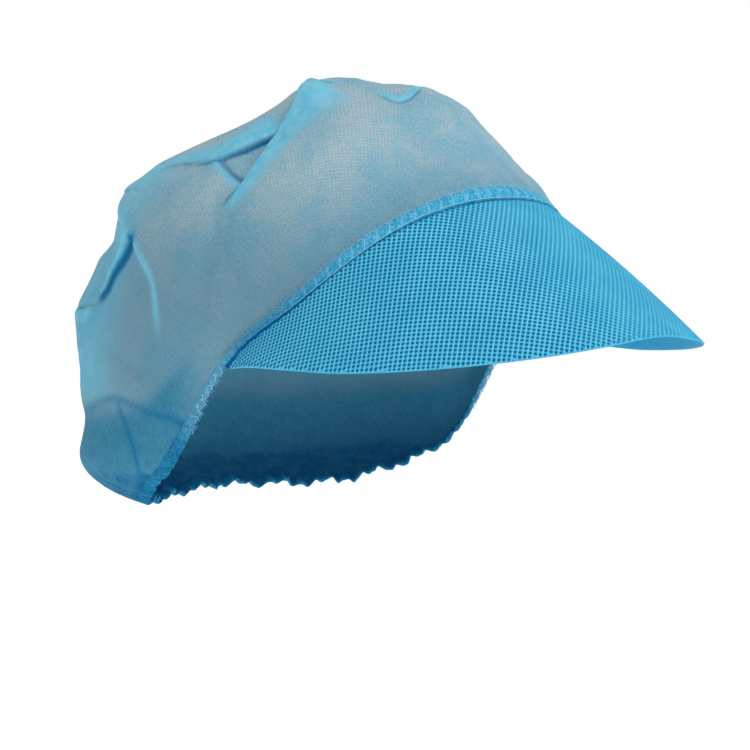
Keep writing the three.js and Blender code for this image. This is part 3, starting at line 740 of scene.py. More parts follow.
# Painted shade of the tail, with the deeper tone of its doubled cloth, darkest along its lower edge
deep_tone = mixed(tree, spread(tree, is_shaded, 0.91, 1.0), linear(38, 120, 154), linear(0, 98, 144))
deep_tone = tinted(tree, deep_tone, (70, 138, 162), mottle, 0.4, 0.62, 0.4)
deep_tone = tinted(tree, deep_tone, (10, 108, 142), specks, 0.45, 0.62, 0.5)
colour = mixed(tree, worked_out(tree, "MULTIPLY", is_shaded, 0.95), colour, deep_tone)
double_tone = mixed(tree, spread(tree, mottle, 0.35, 0.65), linear(92, 186, 218), linear(122, 196, 220))
colour = mixed(tree, worked_out(tree, "MULTIPLY", named(tree, "doubled"), 0.9), colour, double_tone)
# Painted shade in the pockets of the folds and along the creases
colour = tinted(tree, colour, (0, 104, 148), named(tree, "pocket"), 0.0, 0.8)
end_material(tree, colour, 0.85, worked_out(tree, "SUBTRACT", fibres, bond_share), 0.35, 0.0002, sheen=0.03)

crown = mesh_object("bag_cloth", crown_points, crown_faces, crown_values, crown_map, bag_material)
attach(crown, "root")
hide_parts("crown")


# Peak. One stiff sheet of thicker non-woven, embossed all over with rows of small pits and cut to a
# crescent. The rim that it is sewn to bends it, so it lies in straight lines from the seam to its free
# edge.
PEAK_EDGE = [
    (0.0786, 0.0068, 0.0052), (0.0855, -0.010, 0.007), (0.088, -0.032, 0.0073), (0.084, -0.056, 0.0072),
    (0.074, -0.082, 0.009), (0.060, -0.103, 0.0115), (0.044, -0.119, 0.0143), (0.024, -0.130, 0.0175),
    (0.0, -0.134, 0.020),
]
PEAK_START = 0.0004
PEAK_ARCH = 0.0015
PEAK_ARCH_WIDTH = 0.090
PEAK_ARCH_WAY = np.array((0, -0.3, 1))
PEAK_THICKNESS = 0.00055
PEAK_RULINGS = 480
SEAM_INSET = 0.0006
LATTICE_TURN = math.radians(45.0)
PIT_PITCH = 0.00179
PIT_SHARE = 0.86
PIT_DEPTH = 0.00026
PIT_FLOOR_SHARE = 0.72
PIT_CORNER_PULL = 0.52
CROSSING_RISE = 0.00006
# Painted light: where the pits' shade and the crossings' highlights fade, and how faint they are on the far
# side
NEAR_TO_FAR = (-0.045, 0.045)
FAR_PAINTED_CONTRAST = 0.15
WHOLE_CELL_SHARE = 0.6
SEAM_SAMPLES = 600
EDGE_SAMPLES = 1200
SLOPE_RULINGS = 2
SLOPE_SHARE = 0.02


def evenly(points, count):
    """Points at equal steps along a course of close points"""
    way = np.r_[0, np.linalg.norm(np.diff(points, axis=0), axis=1).cumsum()]
    at = np.linspace(0, way[-1], count + 1)
    return np.stack([np.interp(at, way, points[:, axis]) for axis in range(points.shape[1])], 1)


def place_beyond(a, b, from_a, from_b, other):
    """The point of the plane at given distances from a and b, on the side away from another point"""
    step = b - a
    width = np.linalg.norm(step)
    run = (width ** 2 + from_a ** 2 - from_b ** 2) / (2 * width)
    rise = math.sqrt(max(from_a ** 2 - run ** 2, 0))
    along = step / width
    across = np.array((-along[1], along[0]))
    if np.dot(other - a, across) > 0:
        across = -across
    return a + run * along + rise * across


def rolled_out(seam, edge):
    """The seam's line and the free edge laid flat, ruling by ruling, with every length kept"""
    def distance(p, q):
        return np.linalg.norm(p - q)

    flat_seam = [np.zeros(2)]
    flat_edge = [np.array((0.0, -distance(seam[0], edge[0])))]
    behind = np.array((-1.0, 0.0))
    for j in range(len(seam) - 1):
        s, e = flat_seam[j], flat_edge[j]
        s_after, e_after = seam[j + 1], edge[j + 1]
        s_flat = place_beyond(s, e, distance(seam[j], s_after), distance(edge[j], s_after), behind)
        e_flat = place_beyond(e, s_flat, distance(edge[j], e_after), distance(s_after, e_after), s)
        flat_seam.append(s_flat)
        flat_edge.append(e_flat)
        behind = s
    return np.array(flat_seam), np.array(flat_edge)


def nearest_on_outline(points, outline):
    """The nearest point of a closed outline to each point of the plane"""
    starts, steps = outline, np.roll(outline, -1, 0) - outline
    run = ((points[:, None] - starts) * steps).sum(-1) / np.maximum((steps ** 2).sum(-1), 1e-18)
    found = starts + np.clip(run, 0, 1)[..., None] * steps
    return found[np.arange(len(points)), np.linalg.norm(points[:, None] - found, axis=-1).argmin(1)]


def inside_outline(points, outline):
    """Whether each point of the plane lies inside a closed outline"""
    after = np.roll(outline, -1, 0)
    x, y = points[:, :1], points[:, 1:]
    straddles = (outline[:, 1] > y) != (after[:, 1] > y)
    climb = np.where(after[:, 1] == outline[:, 1], 1e-12, after[:, 1] - outline[:, 1])
    crossing = outline[:, 0] + (y - outline[:, 1]) / climb * (after[:, 0] - outline[:, 0])
    return (straddles & (x < crossing)).sum(1) % 2 == 1


seam_angles = np.linspace(-SEAM_END_ANGLE, SEAM_END_ANGLE, SEAM_SAMPLES)
rim_points = bag_point(seam_angles, 0.0)
rim_outward = outward_of(bag_point, seam_angles, 0.0)
seam_course = evenly(rim_points - SEAM_INSET * rim_outward, PEAK_RULINGS)
seam_way = np.r_[0, np.linalg.norm(np.diff(rim_points, axis=0), axis=1).cumsum()]
half_edge = np.array(PEAK_EDGE)
whole_edge = np.concatenate([half_edge * (-1, 1, 1), half_edge[-2::-1]])
edge_course = evenly(read_smoothly(whole_edge, np.linspace(0, 1, EDGE_SAMPLES)), PEAK_RULINGS)
ruling = edge_course - seam_course
ruling_length = np.linalg.norm(ruling, axis=1, keepdims=True)
seam_course = seam_course + ruling * PEAK_START / ruling_length
flat_seam, flat_edge = rolled_out(seam_course, edge_course)
middle_ruling = PEAK_RULINGS // 2
forward = unit(flat_edge[middle_ruling] - flat_seam[middle_ruling])
upright = np.array(((-forward[1], forward[0]), (-forward[0], -forward[1])))
flat_origin = flat_seam[middle_ruling].copy()
flat_seam, flat_edge = (flat_seam - flat_origin) @ upright.T, (flat_edge - flat_origin) @ upright.T
outline = np.concatenate([flat_seam, flat_edge[::-1]])


def peak_middle(place, w):
    """The middle of the peak's cloth at a ruling and a share of the way out along it"""
    strip = np.clip(place.astype(int), 0, PEAK_RULINGS - 1)
    f = (place - strip)[:, None]
    w = np.broadcast_to(w, place.shape)[:, None]
    s = seam_course[strip] * (1 - f) + seam_course[strip + 1] * f
    e = edge_course[strip] * (1 - f) + edge_course[strip + 1] * f
    held = np.clip(w, 0, 1)
    arch = PEAK_ARCH * np.linalg.norm(e - s, axis=1, keepdims=True) / PEAK_ARCH_WIDTH * 4 * held * (1 - held)
    return s + (e - s) * w + arch * PEAK_ARCH_WAY


def peak_point(place, w, off):
    """A point of the peak a distance off its middle, upwards where that is more than nothing"""
    after, before = np.minimum(place + SLOPE_RULINGS, PEAK_RULINGS), np.maximum(place - SLOPE_RULINGS, 0)
    onward = peak_middle(after, w) - peak_middle(before, w)
    outward = peak_middle(place, w + SLOPE_SHARE) - peak_middle(place, w - SLOPE_SHARE)
    upward = unit(np.cross(outward, onward))
    return peak_middle(place, w) + upward * np.broadcast_to(off, place.shape)[:, None]


def on_the_peak(flat, off, at_once=6000):
    """Points of the flat cloth brought to their place on the curved peak, a distance off its middle"""
    if len(flat) > at_once:
        return np.concatenate([on_the_peak(flat[k:k + at_once], off[k:k + at_once])
                               for k in range(0, len(flat), at_once)])
    out = flat_edge - flat_seam
    side = (out[:, 0] * (flat[:, 1:] - flat_seam[:, 1]) - out[:, 1] * (flat[:, :1] - flat_seam[:, 0]))
    before, after = side[:, :-1], side[:, 1:]
    f = np.clip(before / np.where(before == after, 1e-12, before - after), 0, 1)[..., None]
    start = flat_seam[:-1] * (1 - f) + flat_seam[1:] * f
    way = flat_edge[:-1] * (1 - f) + flat_edge[1:] * f - start
    w = ((flat[:, None] - start) * way).sum(-1) / np.maximum((way ** 2).sum(-1), 1e-12)
    missed = np.linalg.norm(start + np.clip(w, 0, 1)[..., None] * way - flat[:, None], axis=-1)
    strip = missed.argmin(1)
    rows = np.arange(len(flat))
    return peak_point(strip + f[rows, strip, 0], w[rows, strip], off)


# The cloth in its own flat frame: six-sided cells with a corner at each crossing and a point at half their
# sides
cosine, sine = math.cos(LATTICE_TURN), math.sin(LATTICE_TURN)
turn = np.array(((cosine, -sine), (sine, cosine)))
pitch = np.array((PIT_PITCH, PIT_PITCH))
low_cell = np.floor((outline @ turn).min(0) / pitch).astype(int) - 1
high_cell = np.ceil((outline @ turn).max(0) / pitch).astype(int) + 1
counts = high_cell - low_cell
i, j = np.mgrid[0:counts[0], 0:counts[1]]
first_corner = i * (counts[1] + 1) + j
corner_beyond = first_corner + counts[1] + 1
first_side = (counts[0] + 1) * (counts[1] + 1) + i * counts[1] + j
cells = np.stack([first_corner, corner_beyond, first_side + counts[1], corner_beyond + 1, first_corner + 1,
                  first_side], -1).reshape(-1, 6)
ci, cj = np.mgrid[0:counts[0] + 1, 0:counts[1] + 1]
si, sj = np.mgrid[0:counts[0] + 1, 0:counts[1]]
corners = np.stack([ci, cj], -1).reshape(-1, 2)
sides = np.stack([si, sj + 0.5], -1).reshape(-1, 2)
lattice = (np.concatenate([corners, sides]) + low_cell) * pitch
is_corner = np.r_[np.ones(len(corners)), np.zeros(len(sides))]
centres = lattice[cells[:, [0, 1, 3, 4]]].mean(1)
kept = cells[inside_outline(centres @ turn.T, outline)]
uses = np.bincount(kept.ravel(), minlength=len(lattice))
on_border = (uses > 0) & (uses < np.where(is_corner > 0, 4, 2))
border = np.flatnonzero(on_border)
lattice[border] = nearest_on_outline(lattice[border] @ turn.T, outline) @ turn
used = np.flatnonzero(uses)
renumbered = np.zeros(len(lattice), int)
renumbered[used] = np.arange(len(used))
kept = renumbered[kept]
lattice, is_corner, on_border = lattice[used], is_corner[used], on_border[used]
x, y = lattice[kept].transpose(2, 0, 1)
cell_area = 0.5 * (x * np.roll(y, -1, 1) - np.roll(x, -1, 1) * y).sum(1)
whole_cell = cell_area > WHOLE_CELL_SHARE * pitch.prod()
halves = np.stack([kept, np.roll(kept, -1, 1)], -1).reshape(-1, 2)
known = set(map(tuple, halves.tolist()))
open_edges = np.array([(a, b) for a, b in known if (b, a) not in known])
open_edges = open_edges[np.lexsort(open_edges.T)]
below = len(lattice)
rise = CROSSING_RISE * is_corner * ~on_border
slab = np.concatenate([np.c_[lattice, rise], np.c_[lattice, np.full(below, -PEAK_THICKNESS)]])
# under marks the lower face, which gets painted shade
slab_values = {"corner": np.r_[is_corner, np.zeros(below)], "under": np.r_[np.zeros(below), np.ones(below)]}
walls = np.stack([open_edges[:, 1], open_edges[:, 0], open_edges[:, 0] + below, open_edges[:, 1] + below], -1)
slab_faces = [*kept.tolist(), *(kept[:, ::-1] + below).tolist(), *walls.tolist()]
peak = mesh_object("peak_cloth", slab, slab_faces, slab_values)
whole = peak.data.attributes.new("whole", "BOOLEAN", "FACE")
whole.data.foreach_set("value", np.r_[whole_cell, np.zeros(len(slab_faces) - len(kept), bool)])

peak_material, tree = new_material("embossed non-woven of the peak")
clouds = noise(tree, 60.0, 3.0)
fuzz = noise(tree, 2600.0, 3.0)
axes = shader_node(tree, "ShaderNodeSeparateXYZ", {0: object_place(tree)})
# Painted light: pits and crossing highlights fade towards the far side, where light fills the pits in
painted_contrast_share = spread(tree, axes.outputs["X"], *NEAR_TO_FAR, 1.0, FAR_PAINTED_CONTRAST)
# Painted highlights at the lattice crossings, where the raised cloth between the pits catches the light
crossing_highlight = spread(tree, named(tree, "corner"), 0.6, 1.0, 0.0, 0.6)
crossing_highlight_share = worked_out(tree, "MULTIPLY", crossing_highlight, painted_contrast_share)
# Dark pit floors: the bonded film's own deeper tone, and painted shade in the pits
pit_share = worked_out(tree, "MULTIPLY", spread(tree, named(tree, "pit"), 0.25, 0.95), painted_contrast_share)
colour = mixed(tree, spread(tree, clouds, 0.35, 0.65), linear(56, 170, 210), linear(74, 184, 220))
colour = tinted(tree, colour, (112, 216, 246), fuzz, 0.35, 0.75, 0.3)
# Painted highlight at the crossings
colour = mixed(tree, crossing_highlight_share, colour, linear(126, 220, 248))
colour = mixed(tree, pit_share, colour, linear(0, 106, 152))
# Painted shade on the peak's underside
colour = tinted(tree, colour, (22, 140, 186), named(tree, "under"), 0.9, 1.0, 0.85)
end_material(tree, colour, 0.6, fuzz, 0.3, 0.0001)


def nodes_tree(name, sizes):
    """A Geometry Nodes tree with a geometry going in and out and named sizes, and what is given to it"""
    tree = bpy.data.node_groups.new(name, "GeometryNodeTree")
    tree.interface.new_socket("Geometry", in_out="INPUT", socket_type="NodeSocketGeometry")
    for size_name in sizes:
        tree.interface.new_socket(size_name, in_out="INPUT", socket_type="NodeSocketFloat")
    tree.interface.new_socket("Geometry", in_out="OUTPUT", socket_type="NodeSocketGeometry")
    return tree, tree.nodes.new("NodeGroupInput").outputs


def end_tree(tree, geometry, material):
    """Realizes the instances, sets the material and gives the result out"""
    real = shader_node(tree, "GeometryNodeRealizeInstances", {"Geometry": geometry})
    coated = shader_node(tree, "GeometryNodeSetMaterial", {"Geometry": real.outputs[0], "Material": material})
    shader_node(tree, "NodeGroupOutput", {0: coated.outputs[0]})


def made_plain(thing, tree, sizes):
    """Runs a tree on an object with its sizes set, and leaves the result as the object's plain mesh"""
    modifier = thing.modifiers.new("pattern", "NODES")
    modifier.node_group = tree
    for item in tree.interface.items_tree:
        if item.in_out == "INPUT" and item.name in sizes:
            modifier[item.identifier] = sizes[item.name]
    evaluated = thing.evaluated_get(bpy.context.evaluated_depsgraph_get())
    mesh = bpy.data.meshes.new_from_object(evaluated)
    thing.modifiers.clear()
    thing.data = mesh


pit_sizes = {"Pit Share": PIT_SHARE, "Pit Depth": PIT_DEPTH, "Floor Share": PIT_FLOOR_SHARE,
             "Corner Pull": PIT_CORNER_PULL}
tree, given = nodes_tree("embossed pits", pit_sizes)
position = shader_node(tree, "GeometryNodeInputPosition")
is_whole = shader_node(tree, "GeometryNodeInputNamedAttribute", {"Name": "whole"}, data_type="BOOLEAN")
at_corner = shader_node(tree, "GeometryNodeInputNamedAttribute", {"Name": "corner"}, data_type="FLOAT")
capture = tree.nodes.new("GeometryNodeCaptureAttribute")
capture.domain = "FACE"
capture.capture_items.new("VECTOR", "Centre")
tree.links.new(given["Geometry"], capture.inputs["Geometry"])
tree.links.new(position.outputs[0], capture.inputs["Centre"])
rim_of_pit = shader_node(tree, "GeometryNodeExtrudeMesh", {"Mesh": capture.outputs["Geometry"],
                         "Selection": is_whole.outputs["Attribute"], "Offset Scale": 0.0, "Individual": True})
narrowed = shader_node(tree, "GeometryNodeScaleElements", {"Geometry": rim_of_pit.outputs["Mesh"],
                       "Selection": rim_of_pit.outputs["Top"], "Scale": given["Pit Share"]})
to_centre = shader_node(tree, "ShaderNodeVectorMath", {0: capture.outputs["Centre"], 1: position.outputs[0]},
                        operation="SUBTRACT")
pull = shader_node(tree, "ShaderNodeMath", {0: at_corner.outputs["Attribute"], 1: given["Corner Pull"]},
                   operation="MULTIPLY")
sideways = shader_node(tree, "ShaderNodeCombineXYZ", {"X": pull.outputs[0]})
pulled = shader_node(tree, "ShaderNodeVectorMath", {0: to_centre.outputs[0], 1: sideways.outputs[0]},
                     operation="MULTIPLY")
rounded = shader_node(tree, "GeometryNodeSetPosition", {"Geometry": narrowed.outputs["Geometry"],
                      "Selection": rim_of_pit.outputs["Top"], "Offset": pulled.outputs[0]})
dug = shader_node(tree, "GeometryNodeExtrudeMesh", {"Mesh": rounded.outputs["Geometry"],
                  "Selection": rim_of_pit.outputs["Top"], "Offset": (0, 0, -1),
                  "Offset Scale": given["Pit Depth"], "Individual": True})
floor_of_pit = shader_node(tree, "GeometryNodeScaleElements", {"Geometry": dug.outputs["Mesh"],
                           "Selection": dug.outputs["Top"], "Scale": given["Floor Share"]})
marked = shader_node(tree, "GeometryNodeStoreNamedAttribute", {"Geometry": floor_of_pit.outputs["Geometry"],
                     "Name": "pit", "Value": dug.outputs["Top"]}, data_type="FLOAT", domain="POINT")
end_tree(tree, marked.outputs["Geometry"], peak_material)
made_plain(peak, tree, pit_sizes)

flat_points = np.empty(len(peak.data.vertices) * 3, np.float32)
peak.data.vertices.foreach_get("co", flat_points)
flat_points = flat_points.reshape(-1, 3).astype(float)
placed = on_the_peak(flat_points[:, :2] @ turn.T, flat_points[:, 2] + PEAK_THICKNESS / 2)
peak.data.vertices.foreach_set("co", placed.astype(np.float32).ravel())
peak.data.update()
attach(peak, "root")
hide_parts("peak")


# Seam band. The raw edges of crown and peak are sewn together and turned up along the crown, so a narrow
# double strip stands above the peak. Overlock thread binds it with rungs across, a needle line along its
# foot and loops along its upper edge, and the cloth puffs out a little between the rungs.
BAND_STATIONS = 640
BAND_PUFF = 0.0003
BAND_LUMP = 0.0007
BAND_LUMPS_FROM = 0.0035
STITCH_PITCH = 0.0055
BAND_TAPER = 0.07
BAND_END_SHARE = 0.55
PUFF_SQUARENESS = 0.6
LUMPS = {"mean": 0.75, "swing": 0.25, "reach": 0.0037, "wander": 1.1, "wander_reach": 0.0129}
BAND_FACE = [
    {"height": 0.0002, "off": 0.00035, "puffs": 0.0}, {"height": 0.0007, "off": 0.00066, "puffs": 0.0},
    {"height": 0.0013, "off": 0.00066, "puffs": 0.1}, {"height": 0.0021, "off": 0.0006, "puffs": 0.8},
    {"height": 0.0030, "off": 0.00056, "puffs": 1.0}, {"height": 0.0038, "off": 0.00048, "puffs": 0.7},
    {"height": 0.0044, "off": 0.0004, "puffs": 0.2}, {"height": 0.0047, "off": 0.00028, "puffs": 0.0},
    {"height": 0.0046, "off": 0.00012, "puffs": 0.0}, {"height": 0.0034, "off": 0.00008, "puffs": 0.0},
    {"height": 0.0018, "off": 0.00008, "puffs": 0.0}, {"height": 0.0005, "off": 0.00008, "puffs": 0.0},
]
RUNG = [
    {"along": -0.03, "height": 0.0006, "off": 0.0006}, {"along": 0.0, "height": 0.0013, "off": 0.00082},
    {"along": 0.03, "height": 0.0021, "off": 0.00078}, {"along": 0.03, "height": 0.0030, "off": 0.00074},
    {"along": 0.0, "height": 0.0038, "off": 0.00068}, {"along": -0.04, "height": 0.0044, "off": 0.00058},
    {"along": -0.08, "height": 0.0048, "off": 0.0004},
]
UPPER_LOOP = [
    {"along": -0.08, "height": 0.0047, "off": 0.0005}, {"along": 0.08, "height": 0.0050, "off": 0.00052},
    {"along": 0.3, "height": 0.0053, "off": 0.00056}, {"along": 0.55, "height": 0.0054, "off": 0.00056},
    {"along": 0.78, "height": 0.0051, "off": 0.00054}, {"along": 0.92, "height": 0.0046, "off": 0.0005},
]
NEEDLE_STITCH = [
    {"along": 0.0, "height": 0.0006, "off": 0.0006}, {"along": 0.2, "height": 0.00058, "off": 0.00084},
    {"along": 0.5, "height": 0.00056, "off": 0.0009}, {"along": 0.8, "height": 0.00058, "off": 0.00084},
    {"along": 0.98, "height": 0.0006, "off": 0.00062},
]
# The band's foot is tinted dark where it meets the peak: the fold's doubled edge, and painted shade
FOOT_SHADES = (1.0, 0.9, 0.0)
BAND_FOOT_ON_PEAK = (0.0002, 0.0034)
BAND_HEEL_ON_PEAK = 0.00015
BAND_ON_PEAK_GAP = 0.00024
FOOT_NARROW_ENDS = (0.015, 0.084)
FOOT_SHADE_ENDS = (0.024, 0.096)
FOOT_SHADE_FRONT_SHARE = 0.45
THREAD_RADIUS = 0.00017
THREAD_SIDES = 6
RUNGS_START = 0.042
BAND_TOP = 0.005
LINT_LOWEST = 0.3
LINT_ALL_ALONG = 2200
LINT_AT_ENDS = 1300
LINT_END = 0.06
LINT_LENGTHS = (0.0007, 0.002)
LINT_RADIUS = 0.00004
LINT_SIDES = 3
LINT_CURL = 0.7
LINT_LIFT = 0.6
LINT_OFF = 0.0006
LINT_STEP = 0.001


def even_angles(first, last, count, height=0.0):
    """Angles whose points on the cloth, at a height above the rim, stand at equal steps from each other"""
    many = np.linspace(first, last, EDGE_SAMPLES)
    signed = np.where(many > 180, many - 360, many)
    course = bag_point(signed, level_above(signed, height))
    way = np.r_[0, np.linalg.norm(np.diff(course, axis=0), axis=1).cumsum()]
    return np.interp(np.linspace(0, way[-1], count), way, many), way[-1]


def above_the_rim(angle, height, off):
    """A point of the cloth at a height above the rim, and a distance outside the cloth's face"""
    level = level_above(angle, height)
    points, outward = finished_cloth(angle, level)[:2]
    return points + np.broadcast_to(off, angle.shape)[..., None] * outward


band_angles, band_length = even_angles(-SEAM_END_ANGLE, SEAM_END_ANGLE, BAND_STATIONS)
along_band = np.linspace(0, band_length, BAND_STATIONS)
stitch_phase = along_band / STITCH_PITCH
from_end = np.minimum(along_band, band_length - along_band)
band_full = smooth_step(0, BAND_TAPER, from_end)
band_tall = BAND_END_SHARE + (1 - BAND_END_SHARE) * band_full
puffing = np.abs(np.sin(np.pi * stitch_phase)) ** PUFF_SQUARENESS
lump_wander = LUMPS["wander"] * np.sin(along_band / LUMPS["wander_reach"])
lump_sizes = LUMPS["mean"] + LUMPS["swing"] * np.sin(along_band / LUMPS["reach"] + lump_wander)
band_place = np.interp(band_angles, seam_angles, seam_way) / seam_way[-1] * PEAK_RULINGS
band_ruling = np.interp(band_place, np.arange(PEAK_RULINGS + 1), ruling_length[:, 0])


def on_peak_top(way):
    """Points of the peak's upper face, at a distance from the seam in front of each station of the band"""
    return peak_point(band_place, way / band_ruling, PEAK_THICKNESS / 2 + BAND_ON_PEAK_GAP)


# The foot lies out over the peak's face, widest at the ends, and carries that dark tint of painted shade
foot_full = 1 - smooth_step(*FOOT_NARROW_ENDS, from_end)
band_rings = [on_peak_top(between(BAND_FOOT_ON_PEAK, foot_full))]
for step in BAND_FACE:
    lumps = BAND_LUMP * puffing * lump_sizes * (step["height"] > BAND_LUMPS_FROM)
    height = step["height"] * band_tall + lumps
    off = step["off"] * band_tall + BAND_PUFF * step["puffs"] * puffing * band_tall
    band_rings.append(above_the_rim(band_angles, height, off))
band_rings.append(on_peak_top(BAND_HEEL_ON_PEAK * np.ones(BAND_STATIONS)))


def tube_faces(stations, sides):
    """The faces of a tube whose points run round each station, with its two ends closed by fans"""
    station, side = np.mgrid[0:stations - 1, 0:sides]
    onward = (side + 1) % sides
    around = np.stack([station * sides + side, (station + 1) * sides + side, (station + 1) * sides + onward,
                       station * sides + onward], -1).reshape(-1, 4)
    last, first_hub = (stations - 1) * sides, stations * sides
    ends = [(j, (j + 1) % sides, first_hub) for j in range(sides)]
    ends += [(last + (j + 1) % sides, last + j, first_hub + 1) for j in range(sides)]
    return [*around, *ends]


def tube_points(rings):
    """The points of such a tube, station by station, and the middles of its two ends"""
    points = np.stack(rings, 1)
    return np.concatenate([points.reshape(-1, 3), [points[0].mean(0), points[-1].mean(0)]])


band_sides = len(BAND_FACE) + 2
foot_shade_share = 1 - (1 - FOOT_SHADE_FRONT_SHARE) * smooth_step(*FOOT_SHADE_ENDS, from_end)
round_the_band = np.r_[FOOT_SHADES, np.zeros(band_sides - len(FOOT_SHADES) - 1), 1.0]
foot_shade_tint = (foot_shade_share[:, None] * round_the_band).ravel()
cells = np.repeat(puffing, band_sides)
band_map = np.stack([np.repeat(along_band, band_sides),
                     np.tile(np.r_[0, [step["height"] for step in BAND_FACE], 0], BAND_STATIONS)], 1)

band_material, tree = new_material("turned-up edges of the seam")
clouds = noise(tree, 260.0, 3.0)
fuzz = noise(tree, 1100.0, 4.0)
colour = mixed(tree, spread(tree, clouds, 0.35, 0.65), linear(60, 164, 204), linear(84, 182, 216))
colour = tinted(tree, colour, (44, 152, 192), named(tree, "cell"), 0.5, 1.0, 0.6)
colour = tinted(tree, colour, (26, 140, 184), fuzz, 0.44, 0.62, 0.5)
colour = tinted(tree, colour, (126, 206, 232), fuzz, 0.52, 0.34, 0.5)
# Painted shade along the foot, with the fold's doubled edge
colour = tinted(tree, colour, (0, 104, 168), named(tree, "foot_shade"), 0.3, 0.9)
end_material(tree, colour, 0.8, fuzz, 0.4, 0.00012)

band = mesh_object("seam_cloth", tube_points(band_rings), tube_faces(BAND_STATIONS, band_sides),
                   {"foot_shade": np.r_[foot_shade_tint, 0, 0], "cell": np.r_[cells, 0, 0]},
                   np.concatenate([band_map, np.zeros((2, 2))]), band_material)
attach(band, "root")
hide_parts("seam_band")


def thread_lines(name, lines):
    """An object with only edges: one chain of points for each line that a thread follows"""
    mesh = bpy.data.meshes.new(name)
    starts = np.cumsum([0] + [len(line) for line in lines])
    edges = [(start + k, start + k + 1) for start, line in zip(starts, lines) for k in range(len(line) - 1)]
    mesh.from_pydata(np.concatenate(lines).tolist(), [(int(a), int(b)) for a, b in edges], [])
    made = bpy.data.objects.new(name, mesh)
    bpy.context.scene.collection.objects.link(made)
    return made


def sewn(name, lines, radius, sides, material):
    """Thread of a radius laid along its lines by Geometry Nodes, as one plain mesh"""
    thread = thread_lines(name, lines)
    tree, given = nodes_tree(name + " thread", {"Thread Radius": radius})
    lines_drawn = shader_node(tree, "GeometryNodeMeshToCurve", {"Mesh": given["Geometry"]})
    section = shader_node(tree, "GeometryNodeCurvePrimitiveCircle", {"Resolution": sides,
                          "Radius": given["Thread Radius"]})
    laid = shader_node(tree, "GeometryNodeCurveToMesh", {"Curve": lines_drawn.outputs[0],
                       "Profile Curve": section.outputs[0], "Fill Caps": True})
    smooth = shader_node(tree, "GeometryNodeSetShadeSmooth", {"Geometry": laid.outputs[0]})
    end_tree(tree, smooth.outputs[0], material)
    made_plain(thread, tree, {"Thread Radius": radius})
    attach(thread, "root")
    return thread


thread_material, tree = new_material("overlock thread")
fluff = noise(tree, 2400.0, 2.0)
colour = mixed(tree, spread(tree, fluff, 0.3, 0.7), linear(112, 192, 226), linear(166, 222, 242))
end_material(tree, colour, 0.7, fluff, 0.5, 0.0001, gloss=0.15)

all_stitches = np.arange(1, int(band_length / STITCH_PITCH) - 1)
clear_of_lint = int(RUNGS_START / STITCH_PITCH)
band_lines = []
for path in (RUNG, UPPER_LOOP, NEEDLE_STITCH):
    stitches = all_stitches if path is NEEDLE_STITCH else all_stitches[clear_of_lint:-clear_of_lint]
    places = np.concatenate([[(n + point["along"]) * STITCH_PITCH for point in path] for n in stitches])
    at_angles = np.interp(places, along_band, band_angles)
    tall = np.interp(places, along_band, band_tall)
    height = np.tile([point["height"] for point in path], len(stitches)) * tall
    off = np.tile([point["off"] for point in path], len(stitches)) * tall
    band_lines += list(above_the_rim(at_angles, height, off).reshape(len(stitches), len(path), 3))
band_thread = sewn("seam_stitches", band_lines, THREAD_RADIUS, THREAD_SIDES, thread_material)


def lint_lines(chance, roots, ways, outs, lengths):
    """Short curled fibres from their roots, each leaning off its own way and a little out of the cloth"""
    count = len(roots)
    sides = unit(np.cross(ways, outs))
    half = 0.5 * chance.uniform(*lengths, (count, 1))
    lean, curl = chance.normal(0, LINT_CURL, (2, count, 1))
    first = unit(unit(ways) + lean * sides + chance.uniform(0, LINT_LIFT, (count, 1)) * unit(outs))
    middles = roots + half * first
    ends = middles + half * unit(first + curl * sides)
    return list(np.stack([roots, middles, ends], 1))


# Lint stands along the strip's upper edge and over its face, thickest towards its ends
chance = np.random.default_rng(seed=5)
lint_at = np.concatenate([chance.uniform(0, band_length, LINT_ALL_ALONG),
                          chance.uniform(0, LINT_END, LINT_AT_ENDS),
                          band_length - chance.uniform(0, LINT_END, LINT_AT_ENDS)])
lint_angles = np.interp(lint_at, along_band, band_angles)
lint_tall = np.interp(lint_at, along_band, band_tall)
lint_height = between((LINT_LOWEST, 1), chance.beta(3, 1, len(lint_at))) * lint_tall * BAND_TOP
lint_off = LINT_OFF * lint_tall
lint_roots = above_the_rim(lint_angles, lint_height, lint_off)
lint_ways = above_the_rim(lint_angles, lint_height + LINT_STEP, lint_off) - lint_roots
lint_outs = above_the_rim(lint_angles, lint_height, lint_off + LINT_STEP * lint_tall) - lint_roots
band_lint_lines = lint_lines(chance, lint_roots, lint_ways, lint_outs, LINT_LENGTHS)
band_lint = sewn("seam_lint", band_lint_lines, LINT_RADIUS, LINT_SIDES, thread_material)


# Elastic hem. The bag's lower edge is turned in over a narrow elastic and sewn down, from one corner of
# the peak round the back to the other. The elastic draws the tunnel together, so its cloth stands in small
# ruffles.
HEM_STATIONS = 640
HEM_SIDES = 20
HEM_HALF_HEIGHT = 0.00275
HEM_HALF_THICKNESS = 0.0011
HEM_INSET = 0.00055
RUFFLE = 0.00055
RUFFLE_EDGE = 0.0004
RUFFLE_START = 0.012
RUFFLE_FULL = 0.045
RUFFLE_CORNER_SHARE = 0.25
RUFFLE_PITCH = 0.0037
RUFFLE_WANDERS = [
    {"size": 0.9, "reach": 0.011}, {"size": 0.7, "reach": 0.0063}, {"size": 0.5, "reach": 0.0041},
]
RUFFLE_SIZES = {"mean": 0.75, "swing": 0.35, "reach": 0.0087, "start": 1.3, "second_reach": 0.0051}
RUFFLE_LAG = 1.1
RUFFLE_SHARES = {"middle": 0.55, "more_below": 0.45, "less_above": 0.35}
EDGE_LAG = 0.5
THICKNESS_SWING = 0.2
HEM_SQUARENESS = 0.7
HEM_START_GAP = 0.1
CORNER_END_FADE = (0.012, 0.05)
